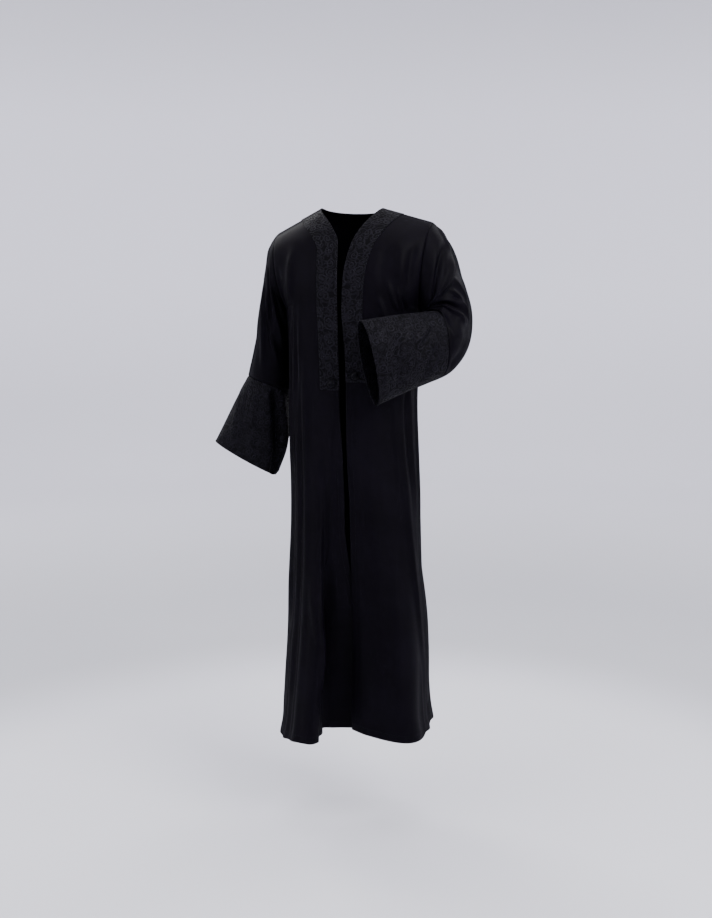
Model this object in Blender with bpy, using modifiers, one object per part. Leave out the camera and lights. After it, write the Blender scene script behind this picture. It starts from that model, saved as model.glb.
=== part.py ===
# An abaya cloak, worn: two fronts and a back joined at the shoulders and sides, set-in
# sleeves with wide cuffs, a band on each front edge and a button at the foot of each band.
# Metres, +Z up, the front faces -Y and the wearer's left is +X. The origin lies between the
# shoulders, at the base of the neck, where the wearer carries the garment.
import math

import bmesh
import bpy
import numpy as np
from mathutils import Matrix, Vector

# --- driving sizes ------------------------------------------------------------------------
CLOTH = 0.0015            # wall of the fronts, back and sleeves
CUFF_CLOTH = 0.0020
BAND_CLOTH = 0.0012
SEAM = 0.0003             # clear distance between pieces that are sewn together
HEM_Z = -1.255
UNDERARM_Z = -0.220
NECK_X = 0.075            # where shoulder seam and neckline meet
NECK_Z = 0.020
NECK_BACK_Y = 0.052       # back neckline at the centre
BAND_WIDTH = 0.050
BAND_FOOT = {-1: -0.402, 1: -0.382}      # lower end of the right and the left band
BUTTON_RADIUS = 0.0115
BUTTON_HEIGHT = 0.0075
BUTTON_INSET = {-1: 0.019, 1: 0.022}     # from the front edge to the button's middle
BUTTON_RISE = 0.0135                     # above the band's lower end
SHOULDER = {-1: (0.187, -0.040), 1: (0.195, -0.012)}   # x from the middle and z
ARMHOLE_X = {-1: 0.158, 1: 0.168}        # underarm point, from the middle
ARMHOLE_REACH = 0.072     # half the armhole, front to back
CHEST_FRONT = 0.124
CHEST_BACK = 0.112
YOKE_POWER = 2.7          # a ring's outline: 2 is an ellipse, more is squarer
YOKE_CLOSING = 3          # how late the chest's depth closes to the shoulder seam
ARMHOLE_CURVE = 0.8       # how soon the armhole runs out to the shoulder
HEM_RISE_REACH = 0.45     # height over which the hem's rise fades out

SIDE_SEAM = 0.0008        # wider than SEAM where the edges meet at an angle
SHOULDER_SEAM = 0.0011
ARMHOLE_SEAM = 0.0011
CUFF_SEAM = 0.0007
BAND_LIFT = 0.00035       # band over panel

LOW_ROWS = 13             # from the hem to the lower of the bands' ends
HIGH_ROWS = 4             # from the higher of them to the underarm
YOKE_ROWS = 12
FRONT_COLUMNS = 15        # beside the band's own
BAND_COLUMNS = 3
BACK_SIDE_COLUMNS = 11    # from a side seam to the neckline's end
BACK_NECK_COLUMNS = 14
SIDE_COLUMN_CURVE = 1.15  # front columns lie a little wider apart towards the side
YOKE_SPREAD = 2.5         # how soon above the underarm the columns are evenly spaced
NECK_ANGLE = 34.0         # degrees either side of the back's middle that the neckline takes
NECK_BACK_DIP = 0.012
SLEEVE_STATIONS = 14
CUFF_STATIONS = 5
BUTTON_SIDES = 24
BUTTON_MERGE = 0.00005

# --- tables: one row a section, one named column a value -----------------------------------
# turn: degrees the whole ring has swung towards the wearer's left. gap: clear width of the
# front opening. Between the rows the values follow a smooth curve.
BODY_COLUMNS = ("z", "x", "y", "right", "left", "front", "back", "turn", "gap", "power")
BODY_RINGS = (
    (UNDERARM_Z, 0.0, 0.0, ARMHOLE_X[-1], ARMHOLE_X[1], CHEST_FRONT, CHEST_BACK, 0.0, 0.010,
     YOKE_POWER),
    (-0.345, 0.0000, 0.000, 0.1530, 0.1600, 0.121, 0.108, 2.8, 0.016, 2.35),
    (-0.440, -0.0020, 0.000, 0.1510, 0.1590, 0.118, 0.106, 4.0, 0.015, 2.25),
    (-0.563, 0.0010, 0.000, 0.1530, 0.1600, 0.120, 0.110, 5.0, 0.010, 2.25),
    (-0.688, 0.0050, -0.001, 0.1550, 0.1610, 0.124, 0.116, 6.0, 0.012, 2.25),
    (-0.840, 0.0070, -0.003, 0.1590, 0.1640, 0.130, 0.122, 6.0, 0.014, 2.30),
    (-0.942, 0.0100, -0.006, 0.1640, 0.1680, 0.136, 0.126, 6.0, 0.016, 2.40),
    (-1.070, 0.0125, -0.009, 0.1700, 0.1720, 0.143, 0.131, 5.0, 0.017, 2.60),
    (-1.200, 0.0130, -0.012, 0.1750, 0.1750, 0.150, 0.135, 4.0, 0.018, 2.90),
    (HEM_Z, 0.0135, -0.012, 0.1830, 0.1810, 0.154, 0.138, 4.0, 0.018, 3.10),
)
# x of each front edge from the middle, against the share of the way from underarm to neck
NECK_EDGE_COLUMNS = ("share", "x")
NECK_EDGES = {
    -1: ((0.0, 0.005), (0.33, 0.006), (0.67, 0.009), (0.85, 0.034), (1.0, NECK_X)),
    1: ((0.0, 0.005), (0.33, 0.008), (0.67, 0.024), (0.85, 0.047), (1.0, NECK_X)),
}
# angle: degrees from the front opening, + towards the wearer's left. drift: how far the fold
# has moved by the hem. depth: + stands out. before, after: its reach to each side in degrees.
# lean: how far its crest is carried round towards the wearer's left.
FOLD_COLUMNS = ("angle", "drift", "top", "full", "depth", "before", "after", "lean")
BODY_FOLDS = (
    (-7.0, 0.0, -0.60, HEM_Z, -0.066, 13.0, 32.0, 0.0),      # parted below the knee
    (20.0, 4.0, -0.66, HEM_Z, -0.036, 32.0, 32.0, 0.0),
    (-30.0, -2.0, -0.50, HEM_Z, 0.022, 26.0, 12.0, 0.022),   # cone over the right foot
    (-14.0, -2.0, -0.62, HEM_Z, 0.0, 9.0, 15.0, -0.036),     # tucked in behind the cone
    (56.0, 0.0, -0.70, HEM_Z, 0.010, 22.0, 22.0, 0.0),
    (-46.0, 2.0, -0.24, -0.45, 0.004, 6.0, 6.0, 0.0),        # from under the right arm
    (-57.0, 2.0, -0.23, -0.50, 0.005, 6.5, 6.5, 0.0),
    (-71.0, 0.0, -0.23, -0.60, 0.005, 8.0, 8.0, 0.0),
    (60.0, 26.0, -0.34, -0.90, 0.006, 9.0, 9.0, 0.0),        # down the left side
    (-93.0, 0.0, -0.40, HEM_Z, 0.008, 12.0, 12.0, 0.0),
    (112.0, 3.0, -0.26, HEM_Z, 0.012, 13.0, 13.0, 0.0),      # hanging from the shoulder blades
    (138.0, 0.0, -0.24, HEM_Z, -0.012, 12.0, 12.0, 0.0),
    (160.0, -2.0, -0.23, HEM_Z, 0.015, 14.0, 12.0, 0.0),
    (183.0, 0.0, -0.28, HEM_Z, -0.013, 12.0, 13.0, 0.0),
    (207.0, 2.0, -0.23, HEM_Z, 0.016, 13.0, 13.0, 0.0),
    (229.0, 0.0, -0.26, HEM_Z, -0.010, 11.0, 12.0, 0.0),
    (250.0, -3.0, -0.30, HEM_Z, 0.013, 13.0, 13.0, 0.0),
)
# The hem's rise over HEM_Z where the cloth is carried forward, and its sag at the right side
HEM_RISE_COLUMNS = ("angle", "rise", "before", "after")
HEM_RISES = (
    (6.0, 0.014, 34.0, 46.0),
    (-66.0, -0.015, 30.0, 34.0),
)
# drop: degrees the sleeve has turned down from level. bend: the elbow's. yaw: the forearm's
# swing towards the wearer's right. out and front: half sizes away from the body and forward.
SLEEVE_COLUMNS = ("x", "y", "z", "drop", "bend", "yaw", "out", "front")
SLEEVES = {
    -1: (
        (-0.1760, 0.000, -0.1300, 9.0, 0.0, 0.0, 0.0910, 0.072),
        (-0.1840, 0.004, -0.1525, 18.0, 0.0, 0.0, 0.0760, 0.072),
        (-0.1870, 0.008, -0.1875, 30.0, 0.0, 0.0, 0.0590, 0.073),
        (-0.1940, 0.014, -0.2300, 48.0, 1.0, 0.0, 0.0480, 0.074),
        (-0.2010, 0.022, -0.2850, 70.0, 3.0, 0.0, 0.0460, 0.075),
        (-0.2090, 0.030, -0.3365, 74.0, 6.0, 0.0, 0.0520, 0.072),
        (-0.2230, 0.038, -0.4100, 72.0, 8.0, 0.0, 0.0600, 0.064),
    ),
    1: (
        (0.1850, 0.000, -0.1170, 8.0, 0.0, 0.0, 0.1050, 0.072),
        (0.2020, 0.000, -0.1420, 23.4, 0.0, 0.0, 0.0850, 0.074),
        (0.2140, 0.000, -0.1730, 39.5, 0.0, 0.0, 0.0680, 0.074),
        (0.2245, 0.000, -0.1950, 55.0, 6.0, 3.0, 0.0580, 0.074),
        (0.2370, -0.006, -0.2230, 68.0, 22.0, 9.0, 0.0500, 0.073),
        (0.2400, -0.021, -0.2520, 80.0, 42.0, 18.0, 0.0490, 0.073),
        (0.2370, -0.038, -0.2735, 87.0, 60.0, 27.0, 0.0490, 0.074),
        (0.2295, -0.052, -0.2870, 90.0, 75.0, 35.0, 0.0490, 0.077),
        (0.2215, -0.065, -0.2950, 90.0, 88.0, 42.0, 0.0490, 0.080),
    ),
}
CUFFS = {
    -1: (
        (-0.2230, 0.038, -0.4100, 72.0, 8.0, 0.0, 0.0600, 0.064),
        (-0.2560, 0.035, -0.5030, 67.0, 8.0, 0.0, 0.0740, 0.058),
        (-0.2900, 0.030, -0.5990, 63.0, 8.0, 0.0, 0.0880, 0.048),
    ),
    1: (
        (0.2215, -0.065, -0.2950, 90.0, 88.0, 42.0, 0.0490, 0.080),
        (0.1580, -0.138, -0.3090, 90.0, 84.0, 42.0, 0.0400, 0.090),
        (0.0925, -0.211, -0.3280, 90.0, 77.0, 42.0, 0.0290, 0.101),
    ),
}
# angle: degrees round the sleeve from its underarm line, 90 its front, 180 its outer line.
# first, last: the stretch of the sleeve, 0 the armhole and 1 the cuff seam.
SLEEVE_FOLD_COLUMNS = ("angle", "first", "last", "depth", "spread")
SLEEVE_FOLDS = {
    -1: (
        (95.0, 0.25, 0.95, -0.009, 26.0),
        (140.0, 0.10, 0.90, 0.005, 22.0),
        (265.0, 0.30, 0.95, -0.008, 26.0),
    ),
    1: (
        (92.0, 0.40, 0.85, -0.008, 30.0),
        (132.0, 0.50, 0.95, -0.007, 24.0),
        (160.0, 0.40, 0.80, 0.005, 24.0),
        (255.0, 0.40, 0.90, -0.008, 28.0),
    ),
}
SLEEVE_CLEARANCE = 0.003      # sleeve to body where they hang against each other
SLEEVE_CLEARANCE_RISE = 0.020     # and kept this far above the underarm

COLOURS = {                   # base colour and roughness
    "cloth": ((0.012, 0.012, 0.016), 0.62),
    "lace": ((0.020, 0.020, 0.026), 0.70),
    "button": ((0.010, 0.010, 0.012), 0.22),
}


# --- reading the tables --------------------------------------------------------------------
def smooth_rows(columns, rows, place):
    """The values at a place along the rows, on a monotone cubic through them."""
    table = np.array(rows, dtype=float)
    keys = table[:, 0]
    if keys[0] > keys[-1]:
        table = table[::-1]
        keys = table[:, 0]
    place = min(max(place, keys[0]), keys[-1])
    steps = np.diff(keys)
    slopes = np.diff(table, axis=0) / steps[:, None]
    tangents = np.zeros_like(table)
    tangents[0] = slopes[0]
    tangents[-1] = slopes[-1]
    for row in range(1, len(keys) - 1):
        before, after = slopes[row - 1], slopes[row]
        same_way = before * after > 0
        weight_a = 2 * steps[row] + steps[row - 1]
        weight_b = steps[row] + 2 * steps[row - 1]
        safe_before = np.where(same_way, before, 1.0)
        safe_after = np.where(same_way, after, 1.0)
        mean = (weight_a + weight_b) / (weight_a / safe_before + weight_b / safe_after)
        tangents[row] = np.where(same_way, mean, 0.0)
    index = min(int(np.searchsorted(keys, place, side="right")) - 1, len(keys) - 2)
    step = steps[index]
    t = (place - keys[index]) / step
    value = ((2 * t**3 - 3 * t**2 + 1) * table[index]
             + (t**3 - 2 * t**2 + t) * step * tangents[index]
             + (3 * t**2 - 2 * t**3) * table[index + 1]
             + (t**3 - t**2) * step * tangents[index + 1])
    return dict(zip(columns, value))


def numbered(rows):
    """The rows with an even 0 to 1 in front, for tables read along their length."""
    last = len(rows) - 1
    return tuple((index / last,) + tuple(row) for index, row in enumerate(rows))


def ease(value):
    """0 below 0, 1 above 1 and a soft curve between."""
    value = min(max(value, 0.0), 1.0)
    return value * value * (3 - 2 * value)


def bump(offset, before, after):
    """1 at the middle of a fold, falling to 0 at its reach on either side."""
    reach = before if offset < 0 else after
    share = abs(offset) / reach
    return 0.0 if share >= 1 else math.cos(0.5 * math.pi * share) ** 2


def from_angle(angle, centre):
    """The angle from a centre, between -180 and 180 degrees."""
    return (angle - centre + 180.0) % 360.0 - 180.0


# --- the body's form -----------------------------------------------------------------------
def ring_radius(ring, angle):
    """Distance from the ring's middle, at degrees from the front, without folds."""
    sine = math.sin(math.radians(angle))
    side = abs(sine) / ring["left" if sine > 0 else "right"]
    cosine = math.cos(math.radians(angle))
    depth = ring["front"] if cosine > 0 else ring["back"]
    along = abs(cosine) / depth
    return (side**ring["power"] + along**ring["power"]) ** (-1 / ring["power"])


def folds_at(angle, z):
    """How far the folds stand out, and how far they lean round, at this place."""
    out = 0.0
    lean = 0.0
    for row in BODY_FOLDS:
        fold = dict(zip(FOLD_COLUMNS, row))
        if z >= fold["top"]:
            continue
        down = (fold["top"] - z) / (fold["top"] - HEM_Z)
        centre = fold["angle"] + fold["drift"] * down
        share = ease((fold["top"] - z) / (fold["top"] - fold["full"]))
        weight = share * bump(from_angle(angle, centre), fold["before"], fold["after"])
        out += fold["depth"] * weight
        lean += fold["lean"] * weight
    return out, lean


def hem_rise(angle, z):
    """The lift of the lowest cloth, fading out well above the hem."""
    share = ease((HEM_Z + HEM_RISE_REACH - z) / HEM_RISE_REACH)
    rise = 0.0
    for row in HEM_RISES:
        entry = dict(zip(HEM_RISE_COLUMNS, row))
        offset = from_angle(angle, entry["angle"])
        rise += entry["rise"] * bump(offset, entry["before"], entry["after"])
    return rise * share


def skirt_point(angle, z):
    """A point of the body below the underarm, at degrees from the front opening."""
    ring = smooth_rows(BODY_COLUMNS, BODY_RINGS, z)
    out, lean = folds_at(angle, z)
    radius = ring_radius(ring, angle) + out
    sine = math.sin(math.radians(angle))
    cosine = math.cos(math.radians(angle))
    local_x = radius * sine + lean * cosine
    local_y = -radius * cosine + lean * sine
    turn = math.radians(ring["turn"])
    return Vector((
        ring["x"] + local_x * math.cos(turn) - local_y * math.sin(turn),
        ring["y"] + local_x * math.sin(turn) + local_y * math.cos(turn),
        z + hem_rise(angle, z),
    ))


def armhole_point(side, share, front):
    """A point of the armhole, share 0 at the underarm and 1 at the shoulder."""
    shoulder_x, shoulder_z = SHOULDER[side]
    swing = math.sqrt(max(0.0, 1 - (2 * share - 1) ** 2))
    return Vector((
        side * (ARMHOLE_X[side] + (shoulder_x - ARMHOLE_X[side]) * share**ARMHOLE_CURVE),
        (-1 if front else 1) * ARMHOLE_REACH * swing,
        UNDERARM_Z + (shoulder_z - UNDERARM_Z) * share,
    ))


def shoulder_z(side, x):
    """Height of the shoulder seam at a distance from the middle."""
    end_x, end_z = SHOULDER[side]
    return NECK_Z + (end_z - NECK_Z) * (x - NECK_X) / (end_x - NECK_X)


def yoke_share(row):
    """0 at the underarm to 1 at the shoulder, closer together at both ends."""
    return (1 - math.cos(math.pi * row / YOKE_ROWS)) / 2


# --- the panels ----------------------------------------------------------------------------
def front_angle(column, ring):
    """The angle of a front panel's column: the band's evenly in length, the rest in degrees."""
    inset = BAND_WIDTH * min(column, BAND_COLUMNS) / BAND_COLUMNS
    angle = math.degrees(math.atan((ring["gap"] / 2 + inset) / ring["front"]))
    beyond = (max(0, column - BAND_COLUMNS) / FRONT_COLUMNS) ** SIDE_COLUMN_CURVE
    side_angle = 90.0 - math.degrees(SIDE_SEAM / 2 / ring["left"])
    return angle + (side_angle - angle) * beyond


def yoke_depth(x, full_depth, armhole):
    """How far forward or back the chest lies at x, passing through the armhole's point."""
    reach = min(1.0, abs(armhole.y) / max(full_depth, 1e-6))
    full_half_width = abs(armhole.x) / (1 - reach**YOKE_POWER) ** (1 / YOKE_POWER)
    share = min(1.0, abs(x) / full_half_width)
    return full_depth * (1 - share**YOKE_POWER) ** (1 / YOKE_POWER)


def spread_out(low_across, even_across, share):
    """Columns bunched at the underarm's side become evenly spaced a little above it."""
    return low_across + (even_across - low_across) * ease(YOKE_SPREAD * math.sqrt(share))


def front_yoke_point(side, column, row):
    """A point of a front panel between underarm and shoulder."""
    share = yoke_share(row)
    ring = smooth_rows(BODY_COLUMNS, BODY_RINGS, UNDERARM_Z)
    angle = front_angle(column, ring)
    low_x = ring_radius(ring, side * angle) * math.sin(math.radians(angle))
    edge_x = smooth_rows(NECK_EDGE_COLUMNS, NECK_EDGES[side], share)["x"]
    armhole = armhole_point(side, share, True)
    if column <= BAND_COLUMNS:
        inset = BAND_WIDTH * column / BAND_COLUMNS
        x = edge_x + inset
        top_x = NECK_X + inset
    else:
        band_x = ring["gap"] / 2 + BAND_WIDTH
        low_across = (low_x - band_x) / (ARMHOLE_X[side] - band_x)
        even_across = (column - BAND_COLUMNS) / FRONT_COLUMNS
        across = spread_out(low_across, even_across, share)
        x = edge_x + BAND_WIDTH + (abs(armhole.x) - edge_x - BAND_WIDTH) * across
        top_x = NECK_X + BAND_WIDTH + (SHOULDER[side][0] - NECK_X - BAND_WIDTH) * across
    depth = yoke_depth(x, CHEST_FRONT * math.sqrt(1 - share**YOKE_CLOSING), armhole)
    z = UNDERARM_Z + (shoulder_z(side, top_x) - UNDERARM_Z) * share
    return Vector((side * x, -depth - SHOULDER_SEAM / 2 * share, z))


def levels():
    """The levels of the rows below the underarm, with one at each band's lower end."""
    low_foot, high_foot = sorted(BAND_FOOT.values())
    low = np.linspace(HEM_Z, low_foot, LOW_ROWS + 1)
    high = np.linspace(high_foot, UNDERARM_Z, HIGH_ROWS + 1)[:-1]
    return [float(z) for z in (*low, *high)]


def front_grid(side):
    """Rows of points from hem to shoulder, each from the front edge to the side."""
    columns = range(BAND_COLUMNS + FRONT_COLUMNS + 1)
    grid = []
    for z in levels():
        ring = smooth_rows(BODY_COLUMNS, BODY_RINGS, z)
        grid.append([skirt_point(side * front_angle(column, ring), z) for column in columns])
    for row in range(YOKE_ROWS + 1):
        grid.append([front_yoke_point(side, column, row) for column in columns])
    return grid


def back_angles(ring):
    """The back's columns, from the wearer's left side seam round to the right one."""
    seam = math.degrees(SIDE_SEAM / 2 / ring["left"])
    neck_start = 180.0 - NECK_ANGLE
    neck_end = 180.0 + NECK_ANGLE
    left = np.linspace(90.0 + seam, neck_start, BACK_SIDE_COLUMNS + 1)[:-1]
    neck = np.linspace(neck_start, neck_end, BACK_NECK_COLUMNS + 1)[:-1]
    right = np.linspace(neck_end, 270.0 - seam, BACK_SIDE_COLUMNS + 1)
    return [float(angle) for angle in (*left, *neck, *right)]


def back_yoke_point(angle, index, row):
    """A point of the back between underarm and shoulder, the neckline at its middle."""
    share = yoke_share(row)
    ring = smooth_rows(BODY_COLUMNS, BODY_RINGS, UNDERARM_Z)
    low_x = ring_radius(ring, angle) * math.sin(math.radians(angle))
    side = 1 if low_x >= 0 else -1
    low_x = abs(low_x)
    neck_angle = 180.0 - side * NECK_ANGLE
    neck_low_x = ring_radius(ring, neck_angle) * math.sin(math.radians(NECK_ANGLE))
    armhole = armhole_point(side, share, False)
    columns = 2 * BACK_SIDE_COLUMNS + BACK_NECK_COLUMNS
    from_side = min(index, columns - index)
    if from_side >= BACK_SIDE_COLUMNS:
        top_x = NECK_X * low_x / neck_low_x
        x = low_x + (top_x - low_x) * share
        round_neck = math.sqrt(max(0.0, 1 - (top_x / NECK_X) ** 2))
        top_y = NECK_BACK_Y * round_neck
        top_z = NECK_Z - NECK_BACK_DIP * round_neck
    else:
        low_across = (low_x - neck_low_x) / (ARMHOLE_X[side] - neck_low_x)
        across = spread_out(low_across, 1 - from_side / BACK_SIDE_COLUMNS, share)
        inner_x = neck_low_x + (NECK_X - neck_low_x) * share
        x = inner_x + (abs(armhole.x) - inner_x) * across
        top_x = NECK_X + (SHOULDER[side][0] - NECK_X) * across
        top_y = 0.0
        top_z = shoulder_z(side, top_x)
    full_depth = top_y + (CHEST_BACK - top_y) * math.sqrt(1 - share**YOKE_CLOSING)
    depth = yoke_depth(x, full_depth, armhole)
    z = UNDERARM_Z + (top_z - UNDERARM_Z) * share
    return Vector((side * x, depth + SHOULDER_SEAM / 2 * share, z))


def back_grid():
    """Rows of points of the back, from hem to shoulder and neckline."""
    grid = []
    for z in levels():
        ring = smooth_rows(BODY_COLUMNS, BODY_RINGS, z)
        grid.append([skirt_point(angle, z) for angle in back_angles(ring)])
    chest = smooth_rows(BODY_COLUMNS, BODY_RINGS, UNDERARM_Z)
    for row in range(YOKE_ROWS + 1):
        grid.append([back_yoke_point(angle, index, row)
                     for index, angle in enumerate(back_angles(chest))])
    return grid


# --- the sleeves and cuffs -----------------------------------------------------------------
def sleeve_axes(side, station):
    """The outward, forward and lengthwise directions of a sleeve at a station."""
    drop = math.radians(station["drop"])
    bend = math.radians(station["bend"])
    along = Vector((math.cos(drop), 0.0, -math.sin(drop)))
    out = Vector((math.sin(drop), 0.0, math.cos(drop)))
    front = Vector((0.0, -1.0, 0.0))
    bent_along = along * math.cos(bend) + front * math.sin(bend)
    bent_front = front * math.cos(bend) - along * math.sin(bend)
    swing = Matrix.Rotation(-math.radians(station["yaw"]), 3, "Z")
    axes = [swing @ axis for axis in (out, bent_front, bent_along)]
    for axis in axes:
        axis.x *= side
    return axes


def clear_of_body(point):
    """The point, moved out where it would lie inside or against the body."""
    if point.z > UNDERARM_Z + SLEEVE_CLEARANCE_RISE:
        return point
    ring = smooth_rows(BODY_COLUMNS, BODY_RINGS, min(point.z, UNDERARM_Z))
    turn = math.radians(ring["turn"])
    x = point.x - ring["x"]
    y = point.y - ring["y"]
    local_x = x * math.cos(turn) + y * math.sin(turn)
    local_y = -x * math.sin(turn) + y * math.cos(turn)
    angle = math.degrees(math.atan2(local_x, -local_y))
    wanted = ring_radius(ring, angle) + folds_at(angle, point.z)[0] + SLEEVE_CLEARANCE
    distance = math.hypot(x, y)
    if distance >= wanted:
        return point
    scale = wanted / distance
    return Vector((ring["x"] + x * scale, ring["y"] + y * scale, point.z))


def sleeve_ring(side, station, folds=(), place=0.0, shift=0.0):
    """The points round a sleeve at a station, from the underarm line over the front."""
    out, front, along = sleeve_axes(side, station)
    centre = Vector((station["x"], station["y"], station["z"])) + along * shift
    points = []
    for step in range(2 * YOKE_ROWS):
        turn = math.pi * step / YOKE_ROWS
        depth = 0.0
        for row in folds:
            fold = dict(zip(SLEEVE_FOLD_COLUMNS, row))
            middle = (fold["first"] + fold["last"]) / 2
            reach = (fold["last"] - fold["first"]) / 2
            offset = from_angle(math.degrees(turn), fold["angle"])
            weight = bump(offset, fold["spread"], fold["spread"])
            depth += fold["depth"] * weight * bump(place - middle, reach, reach)
        point = (centre - out * math.cos(turn) * (station["out"] + depth)
                 + front * math.sin(turn) * (station["front"] + depth))
        points.append(clear_of_body(point))
    return points


def armhole_ring(side):
    """The points of the armhole, in the sleeve's order."""
    over_front = [armhole_point(side, yoke_share(row), True) for row in range(YOKE_ROWS)]
    over_back = [armhole_point(side, yoke_share(row), False)
                 for row in range(YOKE_ROWS, 0, -1)]
    return over_front + over_back


def sleeve_grid(side):
    """Rings of a sleeve, from just clear of the armhole to the cuff seam."""
    table = numbered(SLEEVES[side])
    rings = []
    for index in range(1, SLEEVE_STATIONS + 1):
        place = index / SLEEVE_STATIONS
        station = smooth_rows(("place",) + SLEEVE_COLUMNS, table, place)
        rings.append(sleeve_ring(side, station, SLEEVE_FOLDS[side], place))
    first = []
    for edge, following in zip(armhole_ring(side), rings[0]):
        first.append(edge + (following - edge).normalized() * ARMHOLE_SEAM)
    return [first] + rings


def cuff_grid(side):
    """Rings of a cuff, from its seam to its opening."""
    table = numbered(CUFFS[side])
    rings = []
    for index in range(CUFF_STATIONS + 1):
        place = index / CUFF_STATIONS
        station = smooth_rows(("place",) + SLEEVE_COLUMNS, table, place)
        rings.append(sleeve_ring(side, station, shift=CUFF_SEAM * (1 - place)))
    return rings


# --- the bands and buttons -----------------------------------------------------------------
def grid_normals(grid, side):
    """Outward directions at each point of a front panel's grid."""
    last_row = len(grid) - 1
    last_column = len(grid[0]) - 1
    normals = []
    for row, points in enumerate(grid):
        line = []
        for column in range(len(points)):
            across = (grid[row][min(column + 1, last_column)]
                      - grid[row][max(column - 1, 0)])
            up = grid[min(row + 1, last_row)][column] - grid[max(row - 1, 0)][column]
            line.append((across.cross(up) * side).normalized())
        normals.append(line)
    return normals


def band_grid(side):
    """The front panel's own points under the band, moved out to lie on it."""
    grid = front_grid(side)
    normals = grid_normals(grid, side)
    first = levels().index(BAND_FOOT[side])
    rows = []
    for row in range(first, len(grid)):
        rows.append([grid[row][column] + normals[row][column] * BAND_LIFT
                     for column in range(BAND_COLUMNS + 1)])
    return rows


def button_seat(side):
    """The middle of a button's back and the direction it faces."""
    z = BAND_FOOT[side] + BUTTON_RISE
    step = BAND_CLOTH
    corners = {}
    for name, inset_shift, z_shift in (("middle", 0, 0), ("across", step, 0), ("up", 0, step)):
        ring = smooth_rows(BODY_COLUMNS, BODY_RINGS, z + z_shift)
        inset = ring["gap"] / 2 + BUTTON_INSET[side] + inset_shift
        angle = math.degrees(math.atan(inset / ring["front"]))
        corners[name] = skirt_point(side * angle, z + z_shift)
    across = corners["across"] - corners["middle"]
    up = corners["up"] - corners["middle"]
    normal = (across.cross(up) * side).normalized()
    return corners["middle"] + normal * (BAND_LIFT + BAND_CLOTH + SEAM), normal


# --- making the objects --------------------------------------------------------------------
def clear_scene():
    for item in list(bpy.data.objects):
        bpy.data.objects.remove(item, do_unlink=True)


def material(name, kind):
    """The plain finish of a piece."""
    colour, roughness = COLOURS[kind]
    made = bpy.data.materials.new(name)
    made.use_nodes = True
    shader = made.node_tree.nodes["Principled BSDF"]
    shader.inputs["Base Color"].default_value = (*colour, 1.0)
    shader.inputs["Roughness"].default_value = roughness
    shader.inputs["Metallic"].default_value = 0.0
    made.diffuse_color = (*colour, 1.0)
    return made


def loft(name, grid, closed, outward, kind, thickness, offset, parent, collection):
    """A cloth wall through rows of points. closed: each row is a ring."""
    mesh = bpy.data.meshes.new(name)
    form = bmesh.new()
    rows = [[form.verts.new(point) for point in points] for points in grid]
    count = len(rows[0])
    for lower, upper in zip(rows, rows[1:]):
        for column in range(count if closed else count - 1):
            beside = (column + 1) % count
            corners = (lower[column], lower[beside], upper[beside], upper[column])
            form.faces.new(corners if outward else corners[::-1])
    form.normal_update()
    form.to_mesh(mesh)
    form.free()
    mesh.shade_smooth()
    piece = bpy.data.objects.new(name, mesh)
    collection.objects.link(piece)
    piece.parent = parent
    wall = piece.modifiers.new("cloth wall", "SOLIDIFY")
    wall.thickness = thickness
    wall.offset = offset
    wall.use_even_offset = True
    wall.use_rim = True
    mesh.materials.append(material(f"{kind}_{name}", kind))
    return piece


def turned_button(name, seat, facing, parent, collection):
    """A domed button with a rim, turned from its profile."""
    profile = (
        (0.0, 1.0), (0.35, 0.97), (0.62, 0.85), (0.80, 0.66), (0.84, 0.60),
        (0.93, 0.64), (1.0, 0.50), (1.0, 0.24), (0.90, 0.0), (0.0, 0.0),
    )
    mesh = bpy.data.meshes.new(name)
    form = bmesh.new()
    points = [form.verts.new((BUTTON_RADIUS * x, 0.0, BUTTON_HEIGHT * z)) for x, z in profile]
    for upper, lower in zip(points, points[1:]):
        form.edges.new((upper, lower))
    form.to_mesh(mesh)
    form.free()
    piece = bpy.data.objects.new(name, mesh)
    collection.objects.link(piece)
    piece.parent = parent
    piece.location = seat
    piece.rotation_mode = "QUATERNION"
    piece.rotation_quaternion = Vector((0, 0, 1)).rotation_difference(facing)
    turn = piece.modifiers.new("turned", "SCREW")
    turn.axis = "Z"
    turn.angle = math.tau
    turn.steps = BUTTON_SIDES
    turn.render_steps = BUTTON_SIDES
    turn.use_merge_vertices = True
    turn.merge_threshold = BUTTON_MERGE
    turn.use_smooth_shade = True
    mesh.materials.append(material(f"button_{name}", "button"))
    return piece


def build():
    clear_scene()
    collection = bpy.data.collections.new("abaya_cloak")
    bpy.context.scene.collection.children.link(collection)
    frame = bpy.data.objects.new("wearer_frame", None)
    collection.objects.link(frame)
    for side, word in ((-1, "right"), (1, "left")):
        outward = side > 0
        loft(f"front_{word}", front_grid(side), False, outward, "cloth", CLOTH, -1,
             frame, collection)
        loft(f"band_{word}", band_grid(side), False, outward, "lace", BAND_CLOTH, 1,
             frame, collection)
        loft(f"sleeve_{word}", sleeve_grid(side), True, not outward, "cloth", CLOTH, -1,
             frame, collection)
        loft(f"cuff_{word}", cuff_grid(side), True, not outward, "lace", CUFF_CLOTH, -1,
             frame, collection)
        seat, facing = button_seat(side)
        turned_button(f"button_{word}", seat, facing, frame, collection)
    loft("back", back_grid(), False, True, "cloth", CLOTH, -1, frame, collection)
    bpy.context.view_layer.update()


build()
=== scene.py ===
import math

import bmesh
import bpy
import numpy as np
from mathutils import Matrix, Vector, noise


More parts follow.
